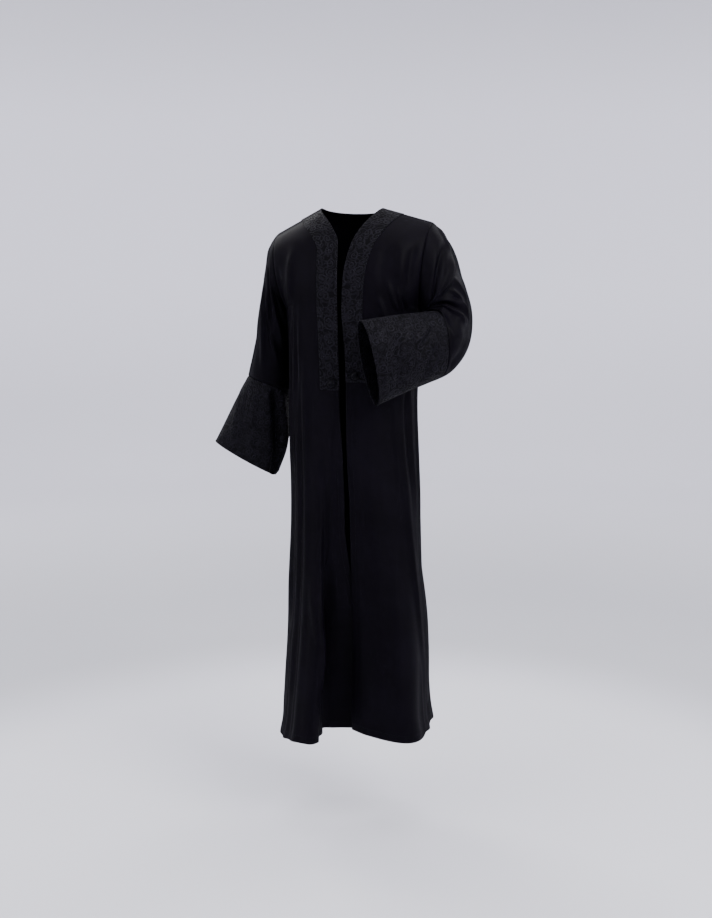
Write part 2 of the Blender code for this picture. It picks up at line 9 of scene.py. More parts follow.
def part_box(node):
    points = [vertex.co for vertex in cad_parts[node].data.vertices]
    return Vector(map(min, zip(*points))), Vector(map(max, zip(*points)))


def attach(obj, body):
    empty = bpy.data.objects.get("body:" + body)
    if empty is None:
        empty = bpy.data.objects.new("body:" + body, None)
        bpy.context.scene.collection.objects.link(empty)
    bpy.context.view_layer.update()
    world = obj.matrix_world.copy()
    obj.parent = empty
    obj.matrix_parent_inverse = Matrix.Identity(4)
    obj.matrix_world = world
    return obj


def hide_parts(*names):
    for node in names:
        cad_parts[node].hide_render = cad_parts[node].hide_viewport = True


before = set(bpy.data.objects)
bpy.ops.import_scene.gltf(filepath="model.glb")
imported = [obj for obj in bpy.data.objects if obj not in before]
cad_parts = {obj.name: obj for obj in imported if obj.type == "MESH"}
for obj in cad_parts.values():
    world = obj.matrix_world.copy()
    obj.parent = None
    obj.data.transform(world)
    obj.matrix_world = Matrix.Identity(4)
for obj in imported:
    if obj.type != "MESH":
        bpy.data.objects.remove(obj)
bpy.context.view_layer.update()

# An abaya cloak as worn. +Z is up, the front faces -Y and the wearer's left is +X, in metres.
# Side -1 is the wearer's right and 1 the left. Every cloth piece is a fine grid laid on its
# form by its place across and along the cloth; its UV map holds those two lengths in metres.

body = {
    "hemZ": -1.255, "underarmZ": -0.220,
    "neckX": 0.075, "neckZ": 0.020, "neckBackY": 0.052, "neckBackDip": 0.012, "neckAngle": 34.0,
    "shoulder": {-1: (0.187, -0.040), 1: (0.195, -0.012)},
    "armholeX": {-1: 0.158, 1: 0.168}, "armholeReach": 0.072, "armholeCurve": 0.8,
    "chestFront": 0.124, "chestBack": 0.112, "yokePower": 2.7, "yokeClosing": 3,
    "hemRiseReach": 0.45, "columnCurve": 1.15, "yokeSpread": 2.5, "bandWidth": 0.050,
    "sideSeam": 0.0003, "shoulderSeam": 0.0004, "wall": 0.0012,
}
ringColumns = ("z", "x", "y", "right", "left", "front", "back", "turn", "gap", "power")
bodyRings = (
    (-0.22, 0, 0, 0.158, 0.168, 0.124, 0.112, 0, 0.01, 2.7),
    (-0.345, 0, 0, 0.153, 0.16, 0.121, 0.108, 2.8, 0.016, 2.35),
    (-0.44, -0.002, 0, 0.151, 0.159, 0.118, 0.106, 4, 0.015, 2.25),
    (-0.563, 0.001, 0, 0.153, 0.16, 0.12, 0.11, 5, 0.01, 2.25),
    (-0.688, 0.005, -0.001, 0.155, 0.161, 0.124, 0.116, 6, 0.012, 2.25),
    (-0.84, 0.007, -0.003, 0.159, 0.164, 0.13, 0.122, 6, 0.014, 2.3),
    (-0.942, 0.01, -0.006, 0.164, 0.168, 0.136, 0.126, 6, 0.016, 2.4),
    (-1.07, 0.0125, -0.009, 0.17, 0.172, 0.143, 0.131, 5, 0.017, 2.6),
    (-1.2, 0.013, -0.012, 0.175, 0.175, 0.15, 0.135, 4, 0.018, 2.9),
    (-1.255, 0.0135, -0.012, 0.183, 0.181, 0.154, 0.138, 4, 0.018, 3.1),
)
# x of a front edge from the middle, against the share of the way from underarm to neck
neckEdges = {
    -1: ((0, 0.005), (0.33, 0.006), (0.67, 0.009), (0.85, 0.034), (1, 0.075)),
    1: ((0, 0.005), (0.33, 0.008), (0.67, 0.024), (0.85, 0.047), (1, 0.075)),
}
# A fold's angle in degrees from the front opening, + to the left, and its drift lower down;
# the heights where it starts and is full; its depth, + out; its reach before and after the
# angle; and a lean that carries its crest round to the left.
bodyFolds = (
    (-7, 0, -0.6, -1.255, -0.066, 13, 32, 0),  # parted below the knee
    (20, 4, -0.66, -1.255, -0.036, 32, 32, 0),
    (-30, -2, -0.5, -1.255, 0.022, 26, 12, 0.022),  # cone over the right foot
    (-14, -2, -0.62, -1.255, 0, 9, 15, -0.036),  # tucked in behind the cone
    (56, 0, -0.7, -1.255, 0.01, 22, 22, 0),
    (-46, 2, -0.24, -0.45, 0.004, 6, 6, 0),  # from under the right arm
    (-57, 2, -0.23, -0.5, 0.005, 6.5, 6.5, 0),
    (-71, 0, -0.23, -0.6, 0.005, 8, 8, 0),
    (60, 26, -0.34, -0.9, 0.006, 9, 9, 0),  # down the left side
    (-93, 0, -0.4, -1.255, 0.008, 12, 12, 0),
    (112, 3, -0.26, -1.255, 0.012, 13, 13, 0),  # hanging from the shoulder blades
    (138, 0, -0.24, -1.255, -0.012, 12, 12, 0),
    (160, -2, -0.23, -1.255, 0.015, 14, 12, 0),
    (183, 0, -0.28, -1.255, -0.013, 12, 13, 0),
    (207, 2, -0.23, -1.255, 0.016, 13, 13, 0),
    (229, 0, -0.26, -1.255, -0.01, 11, 12, 0),
    (250, -3, -0.3, -1.255, 0.013, 13, 13, 0),
)
# angle, rise, and reach before and after it
hemRises = ((6, 0.014, 34, 46), (-66, -0.015, 30, 34))


def smoothRows(columns, rows, places):
    # a monotone cubic through the rows, read at every place at once
    table = np.array(rows, dtype=float)
    if table[0, 0] > table[-1, 0]:
        table = table[::-1]
    keys = table[:, 0]
    places = np.clip(np.asarray(places, dtype=float), keys[0], keys[-1])
    steps = np.diff(keys)[:, None]
    slopes = np.diff(table, axis=0) / steps
    before, after = slopes[:-1], slopes[1:]
    sameWay = before * after > 0
    weightA = 2 * steps[1:] + steps[:-1]
    weightB = steps[1:] + 2 * steps[:-1]
    mean = (weightA + weightB) / (weightA / np.where(sameWay, before, 1)
                                  + weightB / np.where(sameWay, after, 1))
    tangents = np.vstack((slopes[:1], np.where(sameWay, mean, 0), slopes[-1:]))
    index = np.clip(np.searchsorted(keys, places, side="right") - 1, 0, len(keys) - 2)
    step = steps[index]
    t = (places - keys[index])[..., None] / step
    value = ((2 * t**3 - 3 * t**2 + 1) * table[index]
             + (t**3 - 2 * t**2 + t) * step * tangents[index]
             + (3 * t**2 - 2 * t**3) * table[index + 1]
             + (t**3 - t**2) * step * tangents[index + 1])
    return {name: value[..., number] for number, name in enumerate(columns)}


def ease(value):
    value = np.clip(value, 0, 1)
    return value * value * (3 - 2 * value)


def bump(offset, before, after):
    share = np.minimum(np.abs(offset) / np.where(offset < 0, before, after), 1)
    return np.cos(0.5 * np.pi * share) ** 2


def unit(vectors):
    return vectors / np.linalg.norm(vectors, axis=-1, keepdims=True)


def turnedBy(x, y, turn):
    return x * np.cos(turn) - y * np.sin(turn), x * np.sin(turn) + y * np.cos(turn)


def fromAngle(angle, centre):
    return (angle - centre + 180) % 360 - 180


def ringRadius(ring, angle):
    sine, cosine = np.sin(np.radians(angle)), np.cos(np.radians(angle))
    side = np.abs(sine) / np.where(sine > 0, ring["left"], ring["right"])
    depth = np.abs(cosine) / np.where(cosine > 0, ring["front"], ring["back"])
    return (side ** ring["power"] + depth ** ring["power"]) ** (-1 / ring["power"])


def foldsAt(angle, z):
    out, lean = 0.0, 0.0
    for middle, drift, top, full, depth, before, after, sideways in bodyFolds:
        down = np.maximum(top - z, 0) / (top - body["hemZ"])
        offset = fromAngle(angle, middle + drift * down)
        weight = ease((top - z) / (top - full)) * bump(offset, before, after)
        out = out + depth * weight
        lean = lean + sideways * weight
    return out, lean


def skirtPoints(angle, z):
    ring = smoothRows(ringColumns, bodyRings, z)
    out, lean = foldsAt(angle, z)
    radius = ringRadius(ring, angle) + out
    sine, cosine = np.sin(np.radians(angle)), np.cos(np.radians(angle))
    x, y = turnedBy(radius * sine + lean * cosine, lean * sine - radius * cosine,
                    np.radians(ring["turn"]))
    rise = sum(height * bump(fromAngle(angle, middle), before, after)
               for middle, height, before, after in hemRises)
    rise = rise * ease((body["hemZ"] + body["hemRiseReach"] - z) / body["hemRiseReach"])
    return np.stack((ring["x"] + x, ring["y"] + y, z + rise), -1)


def armholePoints(side, share, front):
    shoulderX, shoulderZ = body["shoulder"][side]
    swing = np.sqrt(np.maximum(0, 1 - (2 * share - 1) ** 2))
    x = body["armholeX"][side]
    return np.stack((
        side * (x + (shoulderX - x) * share ** body["armholeCurve"]),
        np.where(front, -1, 1) * body["armholeReach"] * swing,
        body["underarmZ"] + (shoulderZ - body["underarmZ"]) * share,
    ), -1)


def shoulderHeight(side, x):
    endX, endZ = body["shoulder"][side]
    return body["neckZ"] + (endZ - body["neckZ"]) * (x - body["neckX"]) / (endX - body["neckX"])


def yokeDepth(x, fullDepth, armhole):
    # the chest's curve at one height, through the armhole's own point
    power = body["yokePower"]
    reach = np.minimum(1, np.abs(armhole[..., 1]) / np.maximum(fullDepth, 1e-6))
    narrowing = np.maximum(1 - reach**power, 1e-6) ** (1 / power)
    share = np.minimum(1, np.abs(x) * narrowing / np.abs(armhole[..., 0]))
    return fullDepth * (1 - share**power) ** (1 / power)


def spreadOut(lowAcross, evenAcross, share):
    return lowAcross + (evenAcross - lowAcross) * ease(body["yokeSpread"] * np.sqrt(share))


def frontAngle(across, ring):
    # across runs 0 to 1 over the band and 1 to 2 over the rest of the panel
    inset = body["bandWidth"] * np.minimum(across, 1)
    angle = np.degrees(np.arctan((ring["gap"] / 2 + inset) / ring["front"]))
    beyond = np.clip(across - 1, 0, 1) ** body["columnCurve"]
    sideAngle = 90 - np.degrees(body["sideSeam"] / 2 / ring["left"])
    return angle + (sideAngle - angle) * beyond


def frontYoke(side, across, share):
    ring = smoothRows(ringColumns, bodyRings, np.full((1, 1), body["underarmZ"]))
    angle = frontAngle(across, ring)
    lowX = ringRadius(ring, side * angle) * np.sin(np.radians(angle))
    edgeX = smoothRows(("share", "x"), neckEdges[side], share)["x"]
    armhole = armholePoints(side, share, True)
    bandWidth, neckX = body["bandWidth"], body["neckX"]
    bandX = ring["gap"] / 2 + bandWidth
    low = (lowX - bandX) / (body["armholeX"][side] - bandX)
    spread = spreadOut(low, np.clip(across - 1, 0, 1), share)
    armX = np.abs(armhole[..., 0])
    onBand = across <= 1
    inset = bandWidth * np.minimum(across, 1)
    x = np.where(onBand, edgeX + inset,
                 edgeX + bandWidth + (armX - edgeX - bandWidth) * spread)
    topX = np.where(onBand, neckX + inset,
                    neckX + bandWidth + (body["shoulder"][side][0] - neckX - bandWidth) * spread)
    depth = yokeDepth(x, body["chestFront"] * np.sqrt(1 - share ** body["yokeClosing"]), armhole)
    z = body["underarmZ"] + (shoulderHeight(side, topX) - body["underarmZ"]) * share
    return np.stack((side * x, -depth - body["shoulderSeam"] / 2 * share, z), -1)


def backAngle(across, ring):
    # across runs 0 to 1 from the left side seam to the neckline's end, 1 to 2 under the
    # neckline and 2 to 3 to the right side seam
    seam = np.degrees(body["sideSeam"] / 2 / ring["left"])
    start, end = 180 - body["neckAngle"], 180 + body["neckAngle"]
    left = 90 + seam + (start - 90 - seam) * np.clip(across, 0, 1)
    middle = (end - start) * np.clip(across - 1, 0, 1)
    return left + middle + (270 - seam - end) * np.clip(across - 2, 0, 1)


def backYoke(across, share):
    ring = smoothRows(ringColumns, bodyRings, np.full((1, 1), body["underarmZ"]))
    angle = backAngle(across, ring)
    lowX = ringRadius(ring, angle) * np.sin(np.radians(angle))
    points = np.zeros(np.broadcast(across, share).shape + (3,))
    neckX = body["neckX"]
    for side in (1, -1):
        neckLowX = ringRadius(ring, np.full((1, 1), 180.0 - side * body["neckAngle"]))
        neckLowX = neckLowX * math.sin(math.radians(body["neckAngle"]))
        armhole = armholePoints(side, share, False)
        fromSide = across if side > 0 else 3 - across
        size = np.abs(lowX)
        underTop = neckX * size / neckLowX
        roundNeck = np.sqrt(np.maximum(0, 1 - (underTop / neckX) ** 2))
        low = (size - neckLowX) / (body["armholeX"][side] - neckLowX)
        spread = spreadOut(low, np.clip(1 - fromSide, 0, 1), share)
        innerX = neckLowX + (neckX - neckLowX) * share
        sideTop = neckX + (body["shoulder"][side][0] - neckX) * spread
        under = fromSide >= 1
        x = np.where(under, size + (underTop - size) * share,
                     innerX + (np.abs(armhole[..., 0]) - innerX) * spread)
        topY = np.where(under, body["neckBackY"] * roundNeck, 0)
        topZ = np.where(under, body["neckZ"] - body["neckBackDip"] * roundNeck,
                        shoulderHeight(side, sideTop))
        closing = np.sqrt(1 - share ** body["yokeClosing"])
        depth = yokeDepth(x, topY + (body["chestBack"] - topY) * closing, armhole)
        z = body["underarmZ"] + (topZ - body["underarmZ"]) * share
        half = np.stack((side * x, depth + body["shoulderSeam"] / 2 * share, z), -1)
        mine = np.broadcast_to((lowX >= 0) == (side > 0), half.shape[:-1])
        points[mine] = half[mine]
    return points


def bodyRows():
    # heights below the underarm, then shares of the way up to the shoulder
    heights = np.linspace(body["hemZ"], body["underarmZ"], panel["lowRows"] + 1)[:, None]
    steps = np.arange(1, panel["yokeRows"] + 1) / panel["yokeRows"]
    return heights, ((1 - np.cos(np.pi * steps)) / 2)[:, None]


def softened(points, fromSide, reach, passes):
    # eases the bend where the yoke meets the skirt, less and less towards the side seams
    soft, rows = points.copy(), panel["lowRows"]
    for _ in range(passes):
        part = soft[rows - reach:rows + reach + 1]
        soft[rows - reach + 1:rows + reach] += (part[:-2] - 2 * part[1:-1] + part[2:]) / 4
    share = ease(fromSide / panel["sideColumns"])
    return points + (soft - points) * share[None, :, None]


# The sleeves. drop is degrees down from level, bend the elbow's, yaw the forearm's swing to
# the right; out and front are half sizes away from the body and forward.
sleeveColumns = ("x", "y", "z", "drop", "bend", "yaw", "out", "front")
sleeveStations = {
    -1: (
        (-0.176, 0, -0.13, 9, 0, 0, 0.091, 0.072),
        (-0.184, 0.004, -0.1525, 18, 0, 0, 0.076, 0.072),
        (-0.187, 0.008, -0.1875, 30, 0, 0, 0.059, 0.073),
        (-0.194, 0.014, -0.23, 48, 1, 0, 0.048, 0.074),
        (-0.201, 0.022, -0.285, 70, 3, 0, 0.046, 0.075),
        (-0.209, 0.03, -0.3365, 74, 6, 0, 0.052, 0.072),
        (-0.223, 0.038, -0.41, 72, 8, 0, 0.06, 0.064),
    ),
    1: (
        (0.185, 0, -0.117, 8, 0, 0, 0.105, 0.072),
        (0.202, 0, -0.142, 23.4, 0, 0, 0.085, 0.074),
        (0.214, 0, -0.173, 39.5, 0, 0, 0.068, 0.074),
        (0.2245, 0, -0.195, 55, 6, 3, 0.058, 0.074),
        (0.237, -0.006, -0.223, 68, 22, 9, 0.05, 0.073),
        (0.24, -0.021, -0.252, 80, 42, 18, 0.049, 0.073),
        (0.237, -0.038, -0.2735, 87, 60, 27, 0.049, 0.074),
        (0.2295, -0.052, -0.287, 90, 75, 35, 0.049, 0.077),
        (0.2215, -0.065, -0.295, 90, 88, 42, 0.049, 0.08),
    ),
}
cuffStations = {
    -1: (
        sleeveStations[-1][-1],
        (-0.256, 0.035, -0.503, 67, 8, 0, 0.074, 0.058),
        (-0.29, 0.03, -0.599, 63, 8, 0, 0.088, 0.048),
    ),
    1: (
        sleeveStations[1][-1],
        (0.158, -0.138, -0.309, 90, 84, 42, 0.04, 0.09),
        (0.0925, -0.211, -0.328, 90, 77, 42, 0.029, 0.101),
    ),
}
# a fold's angle round the sleeve from its underarm line, 90 its front; where it starts and
# ends, in shares of the length; its depth and spread
sleeveFolds = {
    -1: ((95, 0.25, 0.95, -0.009, 26), (140, 0.1, 0.9, 0.005, 22),
         (265, 0.3, 0.95, -0.008, 26)),
    1: ((92, 0.4, 0.85, -0.008, 30), (132, 0.5, 0.95, -0.007, 24),
        (160, 0.4, 0.8, 0.005, 24), (255, 0.4, 0.9, -0.008, 28)),
}
sleeve = {"stations": 14, "clearance": 0.003, "clearanceRise": 0.02, "armholeSeam": 0.0005,
          "cuffSeam": 0.0004, "cuffSeamFrom": 0.9, "wall": 0.0012, "cuffWall": 0.0018,
          "swellFade": (0.02, 0.012)}
# creases are placed on an even sheet of this girth and length, from the underarm line over the
# front; an uneven swell is read from a noise on a loop of this size, so that it meets itself
tubes = {
    "sleeve": {"rows": 110, "columns": 150, "girth": 0.39, "length": 0.3,
               "loop": 0.055, "drift": (0.2, 1), "clouds": (0.03, 0.05), "swell": 0.0014},
    "cuff": {"rows": 90, "columns": 150, "girth": 0.42, "length": 0.205,
             "loop": 0.06, "drift": (0, 0.6), "clouds": (0.04, 0.05), "swell": 0.0012},
}


def ringPoints(side, rows, places, turns, folds, shift):
    # rings of a sleeve or cuff, each from the underarm line over the front
    last = len(rows) - 1
    numbered = [(index / last,) + tuple(row) for index, row in enumerate(rows)]
    station = smoothRows(("place",) + sleeveColumns, numbered, places)
    drop, bend, yaw = (np.radians(station[name]) for name in ("drop", "bend", "yaw"))
    zero, one = np.zeros_like(drop), np.ones_like(drop)
    along = np.stack((np.cos(drop), zero, -np.sin(drop)), -1)
    out = np.stack((np.sin(drop), zero, np.cos(drop)), -1)
    front = np.stack((zero, -one, zero), -1)
    cosBend, sinBend = np.cos(bend)[..., None], np.sin(bend)[..., None]
    along, front = along * cosBend + front * sinBend, front * cosBend - along * sinBend

    def swung(axis):
        x, y = turnedBy(axis[..., 0], axis[..., 1], -yaw)
        return np.stack((side * x, y, axis[..., 2]), -1)

    out, front, along = swung(out), swung(front), swung(along)
    centre = np.stack((station["x"], station["y"], station["z"]), -1)
    centre = centre + along * shift[..., None]
    depth = 0.0
    for angle, start, end, height, spread in folds:
        half = (end - start) / 2
        weight = bump(fromAngle(np.degrees(turns), angle), spread, spread)
        depth = depth + height * weight * bump(places - start - half, half, half)
    outSize = (np.cos(turns) * (station["out"] + depth))[..., None]
    frontSize = (np.sin(turns) * (station["front"] + depth))[..., None]
    return clearOfBody(centre - out * outSize + front * frontSize)


def clearOfBody(points):
    z = points[..., 2]
    ring = smoothRows(ringColumns, bodyRings, np.minimum(z, body["underarmZ"]))
    x, y = points[..., 0] - ring["x"], points[..., 1] - ring["y"]
    localX, localY = turnedBy(x, y, -np.radians(ring["turn"]))
    angle = np.degrees(np.arctan2(localX, -localY))
    wanted = ringRadius(ring, angle) + foldsAt(angle, z)[0] + sleeve["clearance"]
    distance = np.hypot(x, y)
    inside = (distance < wanted) & (z <= body["underarmZ"] + sleeve["clearanceRise"])
    scale = np.where(inside, wanted / distance, 1)
    return np.stack((ring["x"] + x * scale, ring["y"] + y * scale, z), -1)


def tubeGrid(kind):
    tube = tubes[kind]
    return np.meshgrid(np.linspace(0, 2 * np.pi, tube["columns"] + 1),
                       np.linspace(0, 1, tube["rows"] + 1))


def sleeveForm(side):
    turns, places = tubeGrid("sleeve")
    first = 1 / sleeve["stations"]
    reached = np.maximum(places, first)
    atCuff = ease((reached - sleeve["cuffSeamFrom"]) / (1 - sleeve["cuffSeamFrom"]))
    points = ringPoints(side, sleeveStations[side], reached, turns, sleeveFolds[side],
                        -sleeve["cuffSeam"] / 2 * atCuff)
    armhole = armholePoints(side, (1 - np.cos(turns)) / 2, turns <= np.pi)
    start = armhole + unit(points - armhole) * sleeve["armholeSeam"]
    return start + (points - start) * np.clip(places / first, 0, 1)[..., None]


def cuffForm(side):
    turns, places = tubeGrid("cuff")
    return ringPoints(side, cuffStations[side], places, turns, (),
                      sleeve["cuffSeam"] / 2 * (1 - places))


def cumulative(steps, axis):
    start = np.zeros_like(np.take(steps, [0], axis=axis))
    return np.concatenate((start, np.cumsum(steps, axis=axis)), axis=axis)


def clothLengths(points):
    # distance across each row and along each column, in metres on the cloth
    across = cumulative(np.linalg.norm(np.diff(points, axis=1), axis=-1), 1)
    along = cumulative(np.linalg.norm(np.diff(points, axis=0), axis=-1), 0)
    return across, along


def outward(points, facing, closed):
    # the cloth's own outward direction at every point
    padded = points
    if closed:
        padded = np.concatenate((points[:, -2:-1], points, points[:, 1:2]), axis=1)
    across = np.gradient(padded, axis=1)
    if closed:
        across = across[:, 1:-1]
    return unit(np.cross(across, np.gradient(points, axis=0)) * facing)


# A crease runs between two places on the cloth, given across and along it in millimetres. Then
# come its bow to the left, half its breadth, its height, - for a trough, and the parts of its
# length, in hundredths, over which it rises and dies away. A crest has a faint trough beside it.
creaseUnits = (1000,) * 7 + (100,) * 2
crest = {"height": 1.25, "beside": 0.25, "spread": 6}


def creaseDepth(across, along, rows, period=None):
    depth = np.zeros_like(across)
    for row in rows:
        x0, y0, x1, y1, bow, width, height, fadeIn, fadeOut = np.array(row) / creaseUnits
        runX, runY = x1 - x0, y1 - y0
        length = math.hypot(runX, runY)
        x, y = across - x0, along - y0
        if period is not None:
            x = (x - runX / 2 + period / 2) % period - period / 2 + runX / 2
        t = (x * runX + y * runY) / length**2
        inside = np.clip(t, 0, 1)
        off = (y * runX - x * runY) / length - 4 * bow * inside * (1 - inside)
        near = (off / width) ** 2
        shape = crest["height"] * np.exp(-near)
        shape -= crest["beside"] * np.exp(-near / crest["spread"])
        depth += height * ease(t / fadeIn) * ease((1 - t) / fadeOut) * shape
    return depth


def uneven(across, along, size, seed):
    # a soft noise over the cloth, stretched by its size across and along
    places = zip((across / size[0]).ravel(), (along / size[1]).ravel())
    return np.array([noise.noise((x, y, seed)) for x, y in places]).reshape(across.shape)


def edgeLine(distance, place, width):
    return np.exp(-((distance - place) / width) ** 2)


weld = 1e-6  # how near two points of one place may lie, in metres


def between(wanted, run, line):
    # the points at the wanted distances along a line
    return np.stack([np.interp(wanted, run, line[:, part]) for part in range(3)], -1)


def meshFrom(form, name):
    mesh = bpy.data.meshes.new(name)
    form.to_mesh(mesh)
    form.free()
    return mesh


def linked(name, data):
    made = bpy.data.objects.new(name, data)
    bpy.context.scene.collection.objects.link(made)
    return made


def placed(mesh, material):
    # an object at the origin for a finished mesh
    mesh.shade_smooth()
    mesh.materials.append(material)
    return linked(mesh.name, mesh)


def clothPiece(name, points, facing, closed, wall, wallSide, material):
    # lays a grid on the points and gives it a wall
    rows, columns = points.shape[0] - 1, points.shape[1] - 1
    across, along = clothLengths(points)
    form = bmesh.new()
    form.loops.layers.uv.new("cloth")
    bmesh.ops.create_grid(form, x_segments=columns, y_segments=rows, size=1, calc_uvs=True)
    if facing < 0:
        bmesh.ops.reverse_faces(form, faces=form.faces)
    mesh = meshFrom(form, name)
    flat = np.empty(len(mesh.vertices) * 3, dtype=np.float32)
    mesh.vertices.foreach_get("co", flat)
    flat = (flat.reshape(-1, 3) + 1) / 2
    column = np.rint(flat[:, 0] * columns).astype(int)
    row = np.rint(flat[:, 1] * rows).astype(int)
    mesh.vertices.foreach_set("co", points[row, column].astype(np.float32).ravel())
    corner = np.empty(len(mesh.loops), dtype=np.int32)
    mesh.loops.foreach_get("vertex_index", corner)
    lengths = np.stack((across[row, column], along[row, column]), -1)[corner]
    mesh.uv_layers["cloth"].uv.foreach_set("vector", lengths.astype(np.float32).ravel())
    if closed:
        form = bmesh.new()
        form.from_mesh(mesh)
        bmesh.ops.remove_doubles(form, verts=form.verts, dist=weld)
        form.to_mesh(mesh)
        form.free()
    piece = placed(mesh, material)
    thick = piece.modifiers.new("wall", "SOLIDIFY")
    thick.thickness = wall
    thick.offset = wallSide
    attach(piece, "root")
    return piece


def spun(profile, steps):
    # turns a profile of radii and heights round the upright axis
    form = bmesh.new()
    ring = [form.verts.new((x, 0, z)) for x, z in profile]
    edges = [form.edges.new(pair) for pair in zip(ring, ring[1:])]
    bmesh.ops.spin(form, geom=ring + edges, cent=(0, 0, 0), axis=(0, 0, 1), angle=math.tau,
                   steps=steps, use_merge=True)
    bmesh.ops.remove_doubles(form, verts=form.verts, dist=weld)
    return form


stitch = {"pitch": 0.0042, "length": 0.0030, "radius": 0.00035, "height": 0.00028,
          "ahead": 0.0005}


def lineAt(points, distance, axis):
    # the line at one distance in from an edge of the cloth: axis 0 from its foot, axis 1 from
    # its first side, and a negative distance from the other end
    lengths = clothLengths(points)[1 - axis]
    if axis == 1:
        lengths, points = lengths.T, points.transpose(1, 0, 2)
    wanted = distance if distance >= 0 else lengths[-1] + distance
    wanted = np.broadcast_to(wanted, points.shape[1])
    return np.array([between(wanted[place], lengths[:, place], points[:, place])
                     for place in range(points.shape[1])])


def stitchForm():
    form = bmesh.new()
    bmesh.ops.create_uvsphere(form, u_segments=6, v_segments=4, radius=1)
    bmesh.ops.triangulate(form, faces=form.faces)
    form.verts.ensure_lookup_table()
    corners = np.array([vert.co[:] for vert in form.verts])
    faces = np.array([[vert.index for vert in face.verts] for face in form.faces])
    form.free()
    return corners, faces


def stitches(name, seams):
    # small stitches of thread along each line, half sunk in the cloth
    corners, faces = stitchForm()
    size = np.array((stitch["length"] / 2, stitch["radius"], stitch["height"]))
    allPoints, allFaces, count = [], [], 0
    for line, facing in seams:
        run = np.concatenate(([0], np.cumsum(np.linalg.norm(np.diff(line, axis=0), axis=1))))
        places = np.arange(stitch["pitch"], run[-1] - stitch["pitch"] / 2, stitch["pitch"])
        middle = between(places, run, line)
        along = unit(between(places + stitch["ahead"], run, line) - middle)
        out = between(places, run, facing)
        out = unit(out - along * np.sum(along * out, axis=1, keepdims=True))
        axes = np.stack((along, np.cross(out, along), out), 1)
        allPoints.append((middle[:, None] + (corners * size) @ axes).reshape(-1, 3))
        starts = count + np.arange(len(places))[:, None, None] * len(corners)
        allFaces.append((faces[None] + starts).reshape(-1, 3))
        count += len(places) * len(corners)
    mesh = bpy.data.meshes.new(name)
    mesh.from_pydata(np.concatenate(allPoints), [], np.concatenate(allFaces))
    piece = placed(mesh, thread)
    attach(piece, "root")


class Wire:
    # a socket that Python's operators turn into Math nodes
    def __init__(self, tree, socket):
        self.tree = tree
        self.socket = socket

    def joined(self, operation, *values):
        node = self.tree.nodes.new("ShaderNodeMath")
        node.operation = operation
        for value, socket in zip(values, node.inputs):
            if isinstance(value, Wire):
                self.tree.links.new(value.socket, socket)
            else:
                socket.default_value = value
        return Wire(self.tree, node.outputs[0])

    def math(self, operation, *others):
        return self.joined(operation, self, *others)

    def __add__(self, other):
        return self.math("ADD", other)

    __radd__ = __add__

    def __mul__(self, other):
        return self.math("MULTIPLY", other)

    __rmul__ = __mul__

    def __sub__(self, other):
        return self.math("SUBTRACT", other)

    def __rsub__(self, other):
        return self.joined("SUBTRACT", other, self)

    def __truediv__(self, other):
        return self.math("DIVIDE", other)

    def line(self, centre, width):
        # 1 on a line through the value's centre, falling to 0 at its width
        return ((self - centre).math("ABSOLUTE") / width).math("MINIMUM", 1.0) * -1 + 1

    def step(self, low, high):
        node = self.tree.nodes.new("ShaderNodeMapRange")
        node.interpolation_type = "SMOOTHSTEP"
        self.tree.links.new(self.socket, node.inputs["Value"])
        node.inputs["From Min"].default_value = low
        node.inputs["From Max"].default_value = high
        return Wire(self.tree, node.outputs["Result"])


